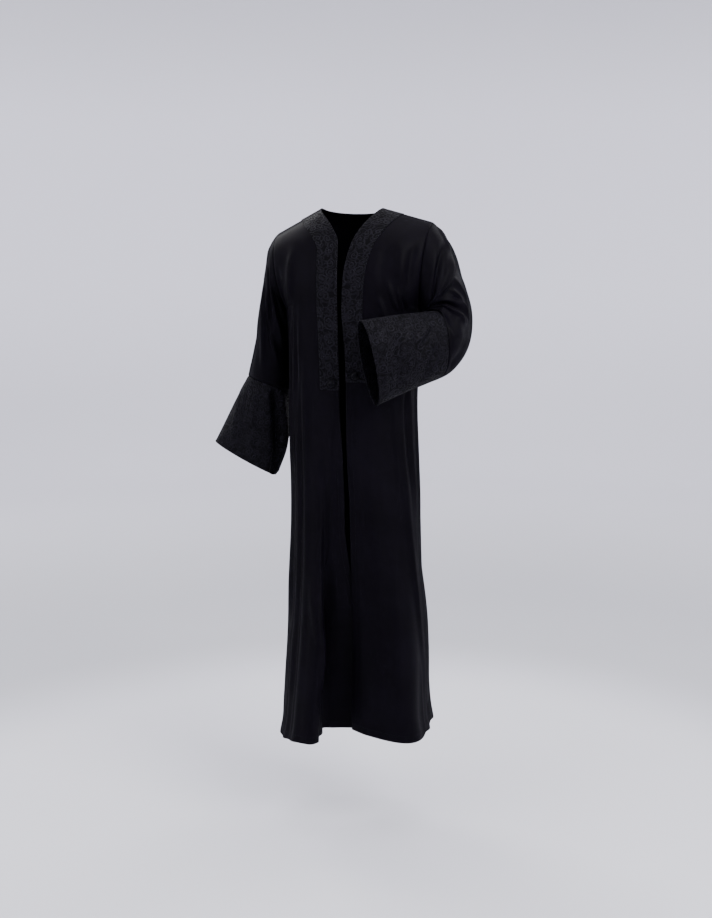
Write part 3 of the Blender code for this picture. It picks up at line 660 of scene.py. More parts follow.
class Finish:
    # a material's nodes
    def __init__(self, name):
        self.material = bpy.data.materials.new(name)
        self.material.use_nodes = True
        self.tree = self.material.node_tree
        self.shader = self.tree.nodes["Principled BSDF"]

    def node(self, kind, settings=None, **sockets):
        made = self.tree.nodes.new(kind)
        for key, value in (settings or {}).items():
            setattr(made, key, value)
        for key, value in sockets.items():
            self.feed(made.inputs[key.replace("_", " ")], value)
        return made

    def feed(self, socket, value):
        if isinstance(value, Wire):
            self.tree.links.new(value.socket, socket)
        elif isinstance(value, bpy.types.NodeSocket):
            self.tree.links.new(value, socket)
        else:
            socket.default_value = value

    def wire(self, socket):
        return Wire(self.tree, socket)

    def parts(self, vector):
        node = self.node("ShaderNodeSeparateXYZ", None, Vector=vector)
        return [self.wire(socket) for socket in node.outputs]

    def clothMap(self):
        return self.node("ShaderNodeUVMap", {"uv_map": "cloth"}).outputs["UV"]

    def vector(self, operation, *values):
        node = self.node("ShaderNodeVectorMath", {"operation": operation})
        for value, socket in zip(values, node.inputs):
            self.feed(socket, value)
        return node.outputs[0]

    def cells(self, vector, scale, randomness):
        # a cell pattern, and two random numbers for each cell
        node = self.node("ShaderNodeTexVoronoi", {"voronoi_dimensions": "2D"}, Vector=vector,
                         Scale=scale, Randomness=randomness)
        colour = self.node("ShaderNodeSeparateColor", None, Color=node.outputs["Color"])
        return node.outputs, self.wire(colour.outputs[0]), self.wire(colour.outputs[1])

    def place(self):
        return self.node("ShaderNodeTexCoord").outputs["Object"]

    def noise(self, vector, scale, detail=2.0, roughness=0.5, dimensions="2D"):
        node = self.node("ShaderNodeTexNoise", {"noise_dimensions": dimensions}, Vector=vector,
                         Scale=scale, Detail=detail, Roughness=roughness)
        return self.wire(node.outputs["Fac"])

    def turnedAway(self):
        # 1 where the cloth turns away, where its fibres hide the gloss
        facing = self.node("ShaderNodeLayerWeight", None, Blend=0.5).outputs["Facing"]
        return self.wire(facing).step(0.35, 0.90)

    def mixed(self, factor, first, second):
        node = self.node("ShaderNodeMix", {"data_type": "RGBA"})
        self.feed(node.inputs["Factor"], factor)
        self.feed(node.inputs[6], first)
        self.feed(node.inputs[7], second)
        return node.outputs[2]

    def raised(self, height, distance):
        return self.node("ShaderNodeBump", None, Height=height, Distance=distance,
                         Strength=1.0).outputs["Normal"]

    def set(self, **values):
        for key, value in values.items():
            self.feed(self.shader.inputs[key.replace("_", " ")], value)
        return self.material


crepe = {
    "colour": (0.0010, 0.0007, 0.0017, 1.0), "worn": (0.0019, 0.0014, 0.0031, 1.0),
    "rough": (0.46, 0.58), "specular": 0.032,
    "sheen": 0.003, "sheenRough": 0.30, "sheenTint": (0.70, 0.66, 1.0, 1.0),
    "grain": 1000.0, "grainStretch": (1.0, 0.55, 1.0), "height": 0.00030,
    "slub": 420.0, "slubStretch": (1.0, 0.12, 1.0), "cloud": 9.0,
}


def crepeFinish(name):
    # a fine crepe: an uneven grain of twisted threads with a soft sheen
    finish = Finish(name)
    uv = finish.clothMap()
    threads = finish.vector("MULTIPLY", uv, crepe["grainStretch"])
    grain = finish.noise(threads, crepe["grain"], 2.0, 0.6)
    slubs = finish.vector("MULTIPLY", uv, crepe["slubStretch"])
    slub = finish.noise(slubs, crepe["slub"])
    cloud = finish.noise(uv, crepe["cloud"], 3.0)
    low, high = crepe["rough"]
    tone = (grain * 0.45 + cloud * 0.55).step(0.35, 0.65)
    return finish.set(
        Base_Color=finish.mixed(tone, crepe["colour"], crepe["worn"]),
        Roughness=(cloud * (high - low) + low).math("MAXIMUM", finish.turnedAway()),
        Normal=finish.raised(grain * 0.7 + slub * 0.3, crepe["height"]),
        Specular_IOR_Level=crepe["specular"], Sheen_Weight=crepe["sheen"],
        Sheen_Roughness=crepe["sheenRough"], Sheen_Tint=crepe["sheenTint"],
    )


lace = {
    "ground": (0.0006, 0.0005, 0.0012, 1.0), "thread": (0.0047, 0.0041, 0.0068, 1.0),
    "groundRough": 0.74, "threadRough": 0.46, "glint": (0.018, 0.018, 0.022, 1.0),
    "sheen": 0.003, "sheenRough": 0.4, "specular": 0.055, "height": 0.0011,
    "warp": 22.0, "warpReach": (0.016, 0.016, 0.0), "weave": 1300.0, "sparkle": 620.0,
    # cell, pitch of the winding, breadth of its line, and reach as a share of the cell
    "scroll": (0.0215, 0.0068, 0.40, 0.66), "arch": (0.052, 0.0120, 0.34, 0.50),
    "archHeight": 0.26, "archZone": (0.52, 0.40), "archShade": 0.25,
    "curlCell": 0.012, "curlLines": 2.8, "curlHeight": 0.75,
}
# sizes in metres; heart, rim and gap are where each starts and ends, heart and rim in shares
# of a petal's reach and the gap in edge widths outside it
flower = {
    "cell": 0.060, "scatter": 0.45, "size": 0.0090, "smallest": 0.8, "variety": 0.45,
    "petals": 6, "petalDepth": 0.38, "petalPoint": 0.45, "edge": 0.0016,
    "heart": (0.34, 0.26), "rim": (0.66, 0.86), "gap": (-1.6, -0.6),
    "rimHeight": 0.8, "petalHeight": 0.35,
}


def cellPolar(finish, uv, cell, randomness):
    # each cell's own radius in metres and angle in turns, and two random numbers
    cells, random, other = finish.cells(uv, 1 / cell, randomness)
    middle = finish.vector("MULTIPLY", cells["Position"], (1.0, 1.0, 0.0))
    x, y, _ = finish.parts(finish.vector("SUBTRACT", uv, middle))
    return (x * x + y * y).math("SQRT"), y.math("ARCTAN2", x) / math.tau, random, other


def spirals(finish, uv, cell, pitch, line, reach):
    # a thread that winds out from the middle of each cell, to either hand
    radius, angle, random, other = cellPolar(finish, uv, cell, 0.75)
    hand = (random - 0.5).math("SIGN")
    turns = (radius / pitch + angle * hand + other).math("FRACT")
    thread = turns.line(0.5, line).step(0.25, 0.75)
    return thread * radius.step(cell * reach, cell * (reach - 0.2))


def flowerPattern(finish, uv, pattern):
    # wide arches over the scrolls, then small flowers with a gap round each
    arch = spirals(finish, uv, *lace["arch"])
    cell = lace["arch"][0]
    near, far = (share * cell for share in lace["archZone"])
    within = cellPolar(finish, uv, cell, 0.75)[0].step(near, far)
    pattern = pattern * (1 - within * lace["archShade"]) + arch * lace["archHeight"]
    out, turned, spin, size = cellPolar(finish, uv, flower["cell"], flower["scatter"])
    petals = ((turned + spin) * (flower["petals"] * math.pi)).math("COSINE").math("ABSOLUTE")
    depth = flower["petalDepth"]
    reach = (petals.math("POWER", flower["petalPoint"]) * depth + (1 - depth)) * flower["size"]
    reach = reach * (size * flower["variety"] + flower["smallest"])
    inside = (reach - out) / flower["edge"]
    heart = (out / reach).step(*flower["heart"])
    rim = (out / reach).step(*flower["rim"]) * flower["rimHeight"]
    shape = inside.step(0.0, 1.0) * (heart + rim).math("MAXIMUM", flower["petalHeight"])
    return (pattern * (1 - inside.step(*flower["gap"])) + shape).math("MINIMUM", 1.0)


def laceFinish(name, flowers):
    # raised scrolls, curls and small flowers of shiny thread on a dull ground
    finish = Finish(name)
    uv = finish.clothMap()
    warp = finish.node("ShaderNodeTexNoise", {"noise_dimensions": "2D"}, Vector=uv,
                       Scale=lace["warp"], Detail=2.0)
    bent = finish.vector("MULTIPLY_ADD", warp.outputs["Color"], lace["warpReach"], uv)
    scroll = spirals(finish, bent, *lace["scroll"])
    curls = finish.noise(bent, 1 / lace["curlCell"], 1.0, 0.4) * lace["curlLines"]
    curl = curls.math("FRACT").line(0.5, 0.30).step(0.2, 0.8)
    pattern = scroll.math("MAXIMUM", curl * lace["curlHeight"])
    if flowers:
        pattern = flowerPattern(finish, bent, pattern)
    weave = finish.noise(finish.vector("MULTIPLY", uv, (1.0, 0.4, 1.0)), lace["weave"], 1.0)
    sparkle, chosen, _ = finish.cells(uv, lace["sparkle"], 1.0)
    dots = finish.wire(sparkle["Distance"]).step(0.42, 0.26)
    glint = chosen.step(0.88, 0.94) * dots * pattern
    low, high = lace["threadRough"], lace["groundRough"]
    rough = pattern * (low - high) + high - glint * 0.15
    return finish.set(
        Base_Color=finish.mixed(pattern, lace["ground"],
                                finish.mixed(glint, lace["thread"], lace["glint"])),
        Roughness=rough.math("MAXIMUM", finish.turnedAway()),
        Normal=finish.raised(pattern * 0.8 + weave * 0.2, lace["height"]),
        Specular_IOR_Level=lace["specular"], Sheen_Weight=lace["sheen"],
        Sheen_Roughness=lace["sheenRough"],
    )


# noise is its scale and detail; rough its base and spread; height the relief of the noise
hardFinishes = {
    "polished black": {"colours": ((0.0010, 0.0009, 0.0016, 1.0), (0.0022, 0.0020, 0.0034, 1.0)),
                       "noise": (260.0, 4.0), "rough": (0.06, 0.10), "height": 0.00003,
                       "specular": 0.048},
    "sewing thread": {"colours": ((0.0012, 0.0011, 0.0020, 1.0), (0.003, 0.003, 0.0044, 1.0)),
                      "noise": (2200.0, 1.0), "rough": (0.45, 0.2), "height": 0.0001,
                      "specular": 0.06},
}


def hardFinish(name):
    # the buttons' gloss with its faint haze of handling, or the twisted thread
    finish, look = Finish(name), hardFinishes[name]
    haze = finish.noise(finish.place(), *look["noise"], dimensions="3D")
    base, spread = look["rough"]
    return finish.set(
        Base_Color=finish.mixed(haze, *look["colours"]), Roughness=haze * spread + base,
        Normal=finish.raised(haze, look["height"]), Specular_IOR_Level=look["specular"],
    )


crepeCloth = crepeFinish("black crepe")
cuffLace = laceFinish("scrolled lace", True)
bandLace = laceFinish("narrow lace", False)
gloss = hardFinish("polished black")
thread = hardFinish("sewing thread")
print("materials: done")

panel = {
    "lowRows": 260, "yokeRows": 68, "bandColumns": 20, "restColumns": 66,
    "backSideColumns": 46, "backNeckColumns": 52, "sideColumns": 8,
    "frontSoft": (12, 40), "backSoft": (26, 150),  # rows reached and passes
    # how far the cloth swells, and the size of the swells across and along it
    "swells": ((0.0010, (0.050, 0.60)), (0.0003, (0.020, 0.110))),
}
frontCreases = {
    -1: (
        (120, 1225, 129, 1060, 0, 13, 6, 35, 45),  # from the shoulder
        (131, 1130, 172, 790, 2, 7, 4, 25, 40), (110, 1120, 152, 620, 0, 7.5, 3.6, 30, 50),
        (96, 1110, 121, 660, 0, 6, 2.4, 30, 50), (142, 1110, 160, 780, 0, 8, -4, 30, 40),
        (186, 1040, 205, 500, 4, 10, 4.5, 30, 45), (162, 1190, 166, 960, 0, 8, -4.5, 30, 40),
        (52, 740, 28, 220, 4, 11, -7.5, 35, 30),  # above the parting
        (52, 600, 46, -40, 0, 8, -11, 40, 2), (49, 480, 41, -40, 0, 21.5, -31, 50, 2),
        (98, 520, 88, 40, 2, 12, 2.8, 40, 15), (182, 560, 230, 60, 3, 18, 2.6, 40, 15),
        (240, 480, 318, 30, 4, 20, 3, 40, 15), (22, 820, 34, 560, 2, 11, 2.6, 35, 40),
        (75, 930, 66, 640, 0, 12, -2.8, 35, 40),
    ),
    1: (
        (98, 1128, 139, 1030, 3, 6, 4, 35, 40),  # drawn to the elbow
        (128, 1116, 146, 1036, 2, 5.5, 3.6, 35, 40), (82, 1086, 106, 1006, 2, 6.5, 3, 35, 40),
        (146, 1100, 158, 1020, 2, 6, -4, 35, 40),
        (108, 1226, 139, 1110, 4, 14, 4.5, 30, 40),  # from the shoulder
        (140, 1236, 158, 1100, 3, 10, -4.5, 30, 40), (78, 1200, 92, 1090, 2, 11, -2.2, 35, 40),
        (136, 900, 238, 100, -30, 10, 5.2, 20, 35),  # down the side
        (166, 900, 200, 420, -4, 8, 4.2, 20, 50), (116, 880, 134, 460, 0, 9, 3.6, 25, 50),
        (200, 920, 214, 340, 3, 9, 4.2, 20, 50), (151, 880, 170, 520, -3, 7, -3.6, 20, 50),
        (60, 640, 72, 40, 3, 18, 3, 40, 15), (110, 520, 134, 30, -3, 17, 3, 40, 15),
        (214, 420, 296, 30, 6, 14, -3.5, 40, 15), (20, 800, 26, 120, 0, 11, 2.2, 30, 30),
    ),
}
backCreases = (
    (58, 1100, 80, 380, 4, 12, 6.2, 25, 45), (30, 1060, 40, 620, 0, 8, -5, 25, 40),
    (92, 1140, 138, 500, -4, 10, -6.2, 30, 45), (125, 1180, 190, 300, 6, 13, 6.4, 30, 40),
    (158, 1090, 205, 560, 3, 8, -4.4, 30, 40), (180, 1120, 250, 120, 4, 16, 5.2, 35, 30),
    (215, 980, 300, 60, -5, 13, -5.8, 35, 20), (246, 1160, 352, 240, 5, 13, 6, 30, 40),
    (286, 1130, 430, 140, -6, 12, -6, 30, 35), (318, 1090, 486, 300, 4, 10, 6.2, 25, 45),
    (345, 1050, 560, 60, -4, 15, 5.4, 30, 20), (150, 1250, 172, 1120, 3, 11, 4.5, 35, 40),
    (232, 1255, 222, 1130, 3, 11, 4, 35, 40),
    (28, 1050, 104, 920, -10, 9, 4.4, 25, 50),  # from the underarms
    (334, 1050, 262, 930, 10, 9, 4.4, 25, 50),
    (60, 420, 30, 30, 3, 19, 6, 40, 10),  # spreading to the hem
    (150, 440, 128, 10, 3, 21, -6.4, 40, 10), (380, 460, 410, 10, -3, 20, -6.4, 40, 10),
)
hem = {"depth": 0.020, "lift": 0.0006, "edge": 0.0022, "sewn": 0.017, "dent": 0.0005,
       "dentWidth": 0.0012}
frontEdge = {"depth": 0.016, "lift": 0.0005, "edge": 0.002, "below": -0.40, "sewn": 0.014,
             "sewnRows": (6, 171)}
neckSewn = -0.006
# the right front's edge slips under the left one towards the hem
underlap = {"top": -0.72, "full": -1.14, "share": 0.35, "angle": 27.0, "inward": 0.038}
# below the underarm the fronts' side edges pass just under the back's
seam = {"dip": 0.0011, "width": 0.0028, "tuck": 0.0014, "lap": 0.0020, "under": 0.0016,
        "tuckReach": 0.03, "creaseFade": 0.016, "swellFade": (0.03, 0.04)}


def hemmed(distance):
    # the turned hem is a little thicker, with a shallow line where it is sewn
    turned = 1 - ease((distance - hem["depth"]) / hem["edge"])
    return hem["lift"] * turned - hem["dent"] * edgeLine(distance, hem["sewn"], hem["dentWidth"])


def turnedEdge(distance):
    return frontEdge["lift"] * (1 - ease((distance - frontEdge["depth"]) / frontEdge["edge"]))


def drawnIn(distance):
    # 1 on a seam, dying away beside it
    return edgeLine(distance, 0, seam["width"])


def panelDepth(across, along, toSide, creases, seeds):
    # its creases, an uneven hang, and the cloth drawn in at its side and top seams
    toTop = along[-1:] - along
    depth = creaseDepth(across, along, creases) * ease(toSide / seam["creaseFade"])
    sideFade, topFade = seam["swellFade"]
    free = ease(toSide / sideFade) * ease(toTop / topFade)
    for (height, size), seed in zip(panel["swells"], seeds):
        depth += height * uneven(across, along, size, seed) * free
    return depth - seam["dip"] * (drawnIn(toSide) + drawnIn(toTop))


def frontColumns():
    # 0 to 1 across the band, then 1 to 2 to the side seam
    return np.concatenate((np.linspace(0, 1, panel["bandColumns"] + 1),
                           1 + np.arange(1, panel["restColumns"] + 1) / panel["restColumns"]))


def frontForm(side, lapped):
    across = frontColumns()
    heights, shares = bodyRows()
    ring = smoothRows(ringColumns, bodyRings, heights)
    under = underShare(side, across[None, :], heights) if lapped else 0.0
    angle = frontAngle(across[None, :], ring) - underlap["angle"] * under
    angle += np.degrees(seam["lap"] / ring["left"]) * (across[None, :] == 2) * tucked(heights)
    points = np.concatenate((skirtPoints(side * angle, heights),
                             frontYoke(side, across[None, :], shares)))
    return softened(points, np.arange(len(across))[::-1], *panel["frontSoft"])


def tucked(z):
    return ease((body["underarmZ"] - z) / seam["tuckReach"] - 0.5)


def underShare(side, across, z):
    if side > 0:
        return 0.0
    down = ease((underlap["top"] - z) / (underlap["top"] - underlap["full"]))
    return down * ease(1 - across / underlap["share"])


def frontSurface(side):
    points = frontForm(side, True)
    across, along = clothLengths(frontForm(side, False))
    toSide = across[:, -1:] - across
    z = points[..., 2]
    depth = panelDepth(across, along, toSide, frontCreases[side], (3.7 + side, 9.1 + side))
    depth += np.maximum(hemmed(along), turnedEdge(across) * (z < frontEdge["below"]))
    depth -= underlap["inward"] * underShare(side, frontColumns(), z)
    depth -= seam["tuck"] * tucked(z) * drawnIn(toSide)
    return points + outward(points, side, False) * depth[..., None]


def backForm():
    sides, neck = panel["backSideColumns"], panel["backNeckColumns"]
    across = np.concatenate((np.arange(sides) / sides, 1 + np.arange(neck) / neck,
                             2 + np.arange(sides + 1) / sides))
    heights, shares = bodyRows()
    ring = smoothRows(ringColumns, bodyRings, heights)
    points = np.concatenate((skirtPoints(backAngle(across[None, :], ring), heights),
                             backYoke(across[None, :], shares)))
    number = np.arange(len(across))
    return softened(points, np.minimum(number, number[::-1]), *panel["backSoft"])


def backSurface():
    points = backForm()
    across, along = clothLengths(points)
    toSide = np.minimum(across, across[:, -1:] - across)
    depth = panelDepth(across, along, toSide, backCreases, (5.3, 1.9)) + hemmed(along)
    return points + outward(points, 1, False) * depth[..., None]


def seamLine(points, normals, distance, axis, number):
    # a line of sewing, and the cloth's outward direction along the row or column nearest it
    return lineAt(points, distance, axis), normals.take(number, axis)


sideWords = {-1: "right", 1: "left"}
frontPoints, seams = {}, []
for side, word in sideWords.items():
    frontPoints[side] = points = frontSurface(side)
    normals = outward(points, side, False)
    rows = slice(*frontEdge["sewnRows"])
    seams += [seamLine(points, normals, hem["sewn"], 0, 6),
              seamLine(points[rows], normals[rows], frontEdge["sewn"], 1, 3)]
    piece = clothPiece(f"front_{word}_cloth", points, side, False, body["wall"], -1, crepeCloth)
    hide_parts(f"front_{word}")
backPoints = backSurface()
backPiece = clothPiece("back_cloth", backPoints, 1, False, body["wall"], -1, crepeCloth)
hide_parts("back")
normals = outward(backPoints, 1, False)
neck = slice(panel["backSideColumns"], panel["backSideColumns"] + panel["backNeckColumns"] + 1)
seams += [seamLine(backPoints, normals, hem["sewn"], 0, 6),
          seamLine(backPoints[:, neck], normals[:, neck], neckSewn, 0, -2)]
stitches("hem_stitches", seams)
print("fronts and back: done")

sleeveCreases = {
    -1: (
        (112, 40, 38, 255, 4, 7, 4.8, 25, 30),  # over the front
        (126, 110, 60, 275, 3, 7, 4.2, 30, 30), (152, 90, 104, 290, 3, 9, 4.6, 30, 20),
        (86, 46, 30, 190, 4, 9, -6.5, 25, 35), (128, 30, 80, 220, 2, 8, -5, 25, 35),
        (190, 16, 172, 150, 4, 10, 4, 30, 40),  # off the shoulder
        (232, 30, 215, 230, -4, 12, 4.2, 25, 35), (210, 80, 190, 280, 3, 9, -4, 30, 30),
        (268, 40, 286, 260, 4, 11, -5, 25, 30),  # behind
        (322, 40, 330, 280, -3, 10, 5, 25, 25), (250, 200, 335, 244, 4, 8, -4, 30, 30),
        (255, 150, 330, 170, 3, 9, 3.5, 30, 30),
    ),
    1: (
        (182, 32, 76, 112, 22, 7.5, -7.5, 25, 20),  # into the elbow
        (192, 54, 106, 116, 4, 8, 6.5, 30, 30), (138, 100, 212, 184, 4, 5.5, 5.2, 25, 30),
        (157, 78, 200, 148, 2, 5, 4.2, 30, 30), (85, 150, 208, 174, 4, 8, -9.5, 20, 35),
        (110, 168, 200, 196, 3, 8, 4.5, 25, 35), (146, 130, 205, 160, 2, 6, -4, 30, 30),
        (185, 196, 176, 296, 0, 17, 4, 35, 15), (212, 200, 236, 296, 2, 12, -3.5, 35, 15),
        (202, 4, 176, 52, 2, 6, 4, 30, 35),  # off the shoulder
        (224, 10, 236, 110, 4, 10, 4, 25, 40), (250, 20, 262, 150, -4, 10, -5, 25, 35),
        (300, 20, 268, 140, 8, 11, 5.5, 25, 35),  # behind
        (330, 50, 290, 200, 6, 11, -6, 25, 30), (352, 90, 318, 240, 6, 10, 5, 25, 30),
        (26, 130, 104, 158, 3, 8, -6, 30, 30),  # inside the bend
        (20, 180, 96, 200, 2, 7.5, 5, 30, 30), (24, 216, 110, 224, 2, 8, -5, 30, 30),
    ),
}
cuffCreases = {
    -1: (
        (76, 0, 18, 206, 4, 10, -14, 14, 2),  # a fold down the front
        (48, 4, -12, 206, 4, 9, 5, 14, 5), (192, 14, 124, 196, 3, 9, 2.2, 25, 20),
        (122, 8, 86, 196, 0, 8, 3, 25, 20), (150, 20, 112, 190, 2, 7, -2.2, 25, 20),
        (270, 10, 262, 200, 4, 12, -5, 20, 15), (330, 10, 345, 200, -3, 11, 4.5, 20, 15),
    ),
    1: (
        (198, 98, 156, 40, 0, 4.4, 3.8, 30, 30), (204, 84, 166, 30, 0, 6, -3, 30, 30),
        (158, 130, 268, 150, 3, 9.5, -4.2, 30, 25), (160, 102, 256, 116, 3, 8, 2.2, 30, 30),
        (156, 168, 262, 186, 2, 8, 2.4, 30, 25), (190, 28, 272, 78, 2, 12, -4.2, 30, 30),
        (196, 10, 236, 120, 3, 9, 2.4, 30, 35), (120, 20, 128, 190, 2, 9, 3, 25, 20),
        (320, 20, 345, 180, 3, 11, -4.5, 25, 20), (380, 10, 372, 190, 3, 10, 3, 25, 20),
    ),
}
cuffEdge = {"cord": 0.0008, "width": 0.0016, "inset": 0.002}
cuffSewn = (0.0035, 0.0055)  # in from the cuff's seam and from its mouth
cuffSwell = {"turn": 15.0, "focus": 1.5, "lean": 1.2, "sharpness": 1.6,
             "depth": {-1: 0.0138, 1: 0.0}}


def tubeDepth(side, kind, points, creases, seed):
    # the creases and the uneven swell of a sleeve or cuff
    tube = tubes[kind]
    rows, columns = points.shape[:2]
    across, down = np.meshgrid(np.linspace(0, tube["girth"], columns),
                               np.linspace(0, tube["length"], rows))
    along = clothLengths(points)[1]
    around = across / tube["girth"] * 2 * np.pi
    shiftX, shiftY = tube["drift"]
    clouds = uneven(tube["loop"] * np.cos(around) + along * shiftX,
                    tube["loop"] * np.sin(around) + along * shiftY, tube["clouds"], seed)
    return creaseDepth(across, down, creases[side], tube["girth"]) + tube["swell"] * clouds


def armholeEdge(side):
    # the body's own edge, from the underarm over the front and down the back
    turns = np.linspace(0, 2 * np.pi, tubes["sleeve"]["columns"] + 1)
    share = (1 - np.cos(turns)) / 2
    keys = np.concatenate(([0], bodyRows()[1][:, 0]))
    front = frontPoints[side][panel["lowRows"]:, -1]
    back = backPoints[panel["lowRows"]:, 0 if side > 0 else -1]
    ring = np.where((turns <= np.pi)[:, None], between(share, keys, front),
                    between(share, keys, back))
    ring[0] = ring[-1] = (ring[0] + ring[-1]) / 2
    return ring


def tuckedUnder(points, normals):
    # slips the first row just under the piece it is sewn to
    points[0] += unit(points[0] - points[1]) * seam["under"] - normals[0] * seam["tuck"]
    return points


def sleeveSurface(side):
    points = sleeveForm(side)
    along = clothLengths(points)[1]
    toEnd = along[-1:] - along
    startFade, endFade = sleeve["swellFade"]
    depth = tubeDepth(side, "sleeve", points, sleeveCreases, side)
    depth = depth * ease(along / startFade) * ease(toEnd / endFade)
    depth -= seam["dip"] * (drawnIn(along) + drawnIn(toEnd))
    points = points + outward(points, -side, True) * depth[..., None]
    points[0] = armholeEdge(side)
    return points


def swollenCuff(side):
    # fuller on the side next to the body, most of all near the middle of its length
    points = cuffForm(side)
    turn = math.radians(cuffSwell["turn"])
    inward = np.array((math.cos(turn), math.sin(turn), 0))
    facing = np.clip(outward(points, -side, True) @ inward, 0, 1) ** cuffSwell["focus"]
    along = clothLengths(points)[1]
    rise = np.sin(np.pi * (along / along[-1:]) ** cuffSwell["lean"])
    rise = np.clip(rise, 0, 1) ** cuffSwell["sharpness"]
    return points + (cuffSwell["depth"][side] * facing * rise)[..., None] * inward


def cuffSurface(side):
    points = swollenCuff(side)
    along = clothLengths(points)[1]
    depth = tubeDepth(side, "cuff", points, cuffCreases, 4.0 + side)
    depth -= seam["dip"] * drawnIn(along)
    depth += cuffEdge["cord"] * edgeLine(along[-1:] - along, cuffEdge["inset"], cuffEdge["width"])
    normals = outward(points, -side, True)
    return tuckedUnder(points + normals * depth[..., None], normals)


seams = []
for side, word in sideWords.items():
    sleevePoints, cuffPoints = sleeveSurface(side), cuffSurface(side)
    piece = clothPiece(f"sleeve_{word}_cloth", sleevePoints, -side, True, sleeve["wall"], -1,
                       crepeCloth)
    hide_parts(f"sleeve_{word}")
    piece = clothPiece(f"cuff_{word}_lace", cuffPoints, -side, True, sleeve["cuffWall"], -1,
                       cuffLace)
    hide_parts(f"cuff_{word}")
    normals = outward(cuffPoints, -side, True)
    seams += [seamLine(sleevePoints, outward(sleevePoints, -side, True), -cuffSewn[0], 0, -2),
              seamLine(cuffPoints, normals, cuffSewn[0], 0, 2),
              seamLine(cuffPoints, normals, -cuffSewn[1], 0, -3)]
stitches("cuff_stitches", seams)
print("sleeves and cuffs: done")

band = {"foot": {-1: -0.402, 1: -0.382}, "lift": 0.0003, "wall": 0.0011,
        "cord": 0.0006, "cordWidth": 0.0013, "cordInset": 0.0016, "seam": 0.0042}


def bandSurface(side):
    # the front's own points under the band, moved out to lie on it
    first = int(np.argmin(np.abs(bodyRows()[0] - band["foot"][side])))
    under = slice(first, None), slice(panel["bandColumns"] + 1)
    points = frontPoints[side][under]
    normals = outward(frontPoints[side], side, False)[under]
    across, along = clothLengths(points)
    toEdge = np.minimum(np.minimum(across, across[:, -1:] - across), along)
    depth = band["lift"] + band["cord"] * edgeLine(toEdge, band["cordInset"], band["cordWidth"])
    return points + normals * depth[..., None]


seams = []
for side, word in sideWords.items():
    bandPoints = bandSurface(side)
    piece = clothPiece(f"band_{word}_lace", bandPoints, side, False, band["wall"], 1, bandLace)
    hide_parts(f"band_{word}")
    normals = outward(bandPoints, side, False)
    top = bandPoints + normals * band["wall"]
    seams += [seamLine(top[2:], normals[2:], band["seam"], 1, 1),
              seamLine(top[2:], normals[2:], -band["seam"], 1, -2),
              seamLine(top, normals, band["seam"], 0, 1)]
stitches("band_stitches", seams)
print("bands: done")

button = {
    "radius": 0.0115, "height": 0.0075, "steps": 72,
    "profile": ((0, 1), (0.16, 0.987), (0.3, 0.954), (0.44, 0.896), (0.56, 0.822),
                (0.66, 0.734), (0.74, 0.637), (0.8, 0.532), (0.83, 0.454), (0.85, 0.385),
                (0.88, 0.39), (0.93, 0.41), (0.975, 0.37), (1, 0.29), (1, 0.18),
                (0.97, 0.08), (0.9, 0.02), (0, 0)),
}


def buttonPiece(side, word):
    low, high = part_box(f"button_{word}")
    middle = (Vector(low) + Vector(high)) / 2
    points = frontPoints[side].reshape(-1, 3)
    normals = outward(frontPoints[side], side, False).reshape(-1, 3)
    nearest = int(np.argmin(np.linalg.norm(points - np.array(middle), axis=1)))
    facing = Vector(normals[nearest])
    seat = middle - facing * (button["height"] / 2)
    form = spun([(x * button["radius"], z * button["height"]) for x, z in button["profile"]],
                button["steps"])
    bmesh.ops.recalc_face_normals(form, faces=form.faces)
    turned = Vector((0, 0, 1)).rotation_difference(facing).to_matrix().to_4x4()
    bmesh.ops.transform(form, matrix=Matrix.Translation(seat) @ turned, verts=form.verts)
    piece = placed(meshFrom(form, f"button_{word}_gloss"), gloss)
    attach(piece, "root")
    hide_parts(f"button_{word}")


for side, word in sideWords.items():
    buttonPiece(side, word)
print("buttons: done")

studio = {
    "floorZ": -1.50, "floorRadius": 4.6, "bend": 1.6, "bendSteps": 16, "wallTop": 4.2,
    "steps": 96, "roughness": 0.55, "specular": 0.25, "mottle": 0.08, "target": (0, 0, -0.5),
    "bright": (0.89, 0.88, 0.95, 1.0), "dim": (0.42, 0.42, 0.455, 1.0),
    "worldColour": (0.80, 0.81, 0.88, 1.0), "worldStrength": 1.12,
    # painted light: how much brighter a painted pool of light makes the floor near the cloak, and
    # how much more far off and on the wall, then painted shade high on the wall
    "pool": (1.0, 1.6), "paintedPoolTone": 0.36, "far": (2.0, 5.2), "farTone": 0.75,
    "lowWall": (-1.4, -0.4), "wallTone": 0.25, "highWall": (0.5, 1.5), "paintedTopShade": -0.40,
    # name, place to the camera's right, up and towards the camera, size, watts
    "lights": (("key", 2.2, 1.6, 2.6, 2.2, 210.0), ("fill", -2.8, 0.9, 1.8, 2.4, 60.0),
               ("top", 0.2, 3.2, 0.2, 2.6, 90.0), ("rim", 2.8, 1.4, -2.4, 1.8, 60.0),
               ("back", -2.0, 1.8, -2.8, 1.8, 110.0)),
}
shot = {"distance": 3.5, "azimuth": 15.0, "pitch": 9.5, "aside": 0.007, "lens": 56.7}


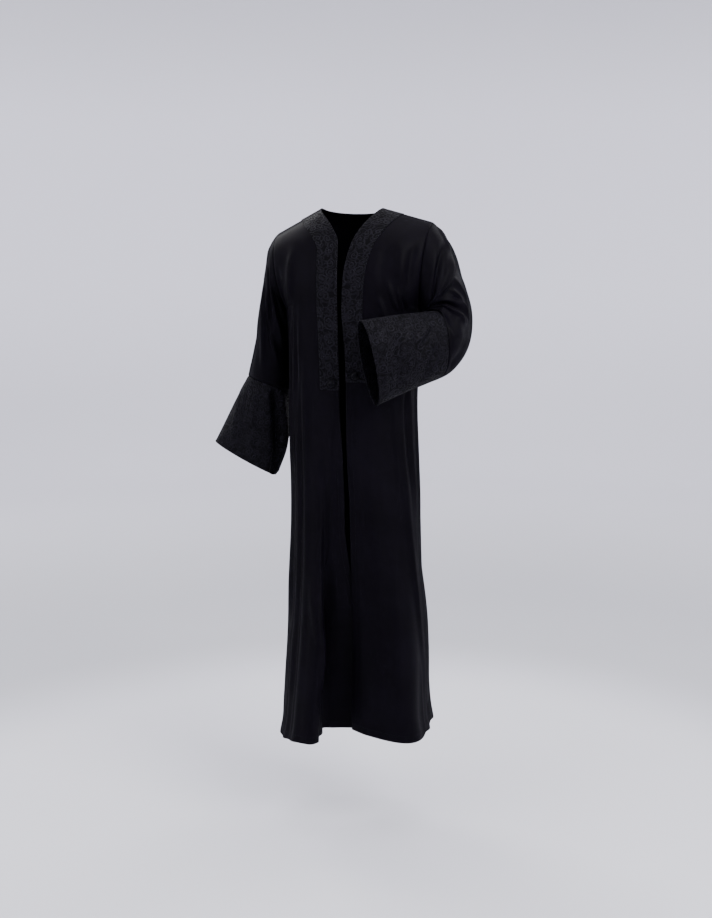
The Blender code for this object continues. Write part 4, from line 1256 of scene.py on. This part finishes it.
def backdrop():
    # a floor that curves up into a round wall, open above
    radius, bend, low = studio["floorRadius"], studio["bend"], studio["floorZ"]
    turns = np.linspace(0, math.pi / 2, studio["bendSteps"] + 1)
    profile = [(0.0, low), (radius / 2, low)]
    profile += [(radius + bend * math.sin(turn), low + bend * (1 - math.cos(turn)))
                for turn in turns]
    profile.append((radius + bend, studio["wallTop"]))
    finish = Finish("pale floor")
    place = finish.place()
    mottle = finish.noise(place, 0.8, 3.0, dimensions="3D")
    x, y, z = finish.parts(place)
    away = (x * x + y * y).math("SQRT")
    # painted light on the backdrop: a pool of light painted on the floor round the cloak, lighter
    # far off and low on the wall, and painted shade higher up the wall; only the mottle is a
    # random tone
    tone = (1 - away.step(*studio["pool"])) * studio["paintedPoolTone"]
    tone = tone + away.step(*studio["far"]) * studio["farTone"]
    tone = tone + z.step(*studio["lowWall"]) * studio["wallTone"]
    tone = tone + z.step(*studio["highWall"]) * studio["paintedTopShade"]
    tone = tone + (mottle - 0.5) * studio["mottle"]
    finish.set(Base_Color=finish.mixed(tone, studio["dim"], studio["bright"]),
               Roughness=studio["roughness"], Specular_IOR_Level=studio["specular"])
    floor = placed(meshFrom(spun(profile, studio["steps"]), "studio_floor"), finish.material)


def viewSpace(right, up, toward):
    turn = math.radians(shot["azimuth"])
    return Vector((right * math.cos(turn) + toward * math.sin(turn),
                   right * math.sin(turn) - toward * math.cos(turn), up))


def lightTheScene():
    world = bpy.data.worlds.new("studio")
    bpy.context.scene.world = world
    world.use_nodes = True
    sky = world.node_tree.nodes["Background"].inputs
    sky["Color"].default_value = studio["worldColour"]
    sky["Strength"].default_value = studio["worldStrength"]
    target = Vector(studio["target"])
    for name, right, up, toward, size, watts in studio["lights"]:
        lamp = bpy.data.lights.new(name, "AREA")
        lamp.size = size
        lamp.energy = watts
        holder = linked(name, lamp)
        holder.location = viewSpace(right, up, toward)
        holder.rotation_euler = (target - holder.location).to_track_quat("-Z", "Y").to_euler()


def placeCamera():
    eye = bpy.data.cameras.new("camera")
    eye.lens = shot["lens"]
    holder = linked("camera", eye)
    holder.location = viewSpace(shot["aside"], 0, shot["distance"])
    holder.rotation_euler = (math.radians(90 - shot["pitch"]), 0, math.radians(shot["azimuth"]))
    bpy.context.scene.camera = holder


backdrop()
lightTheScene()
placeCamera()
print("studio: done")
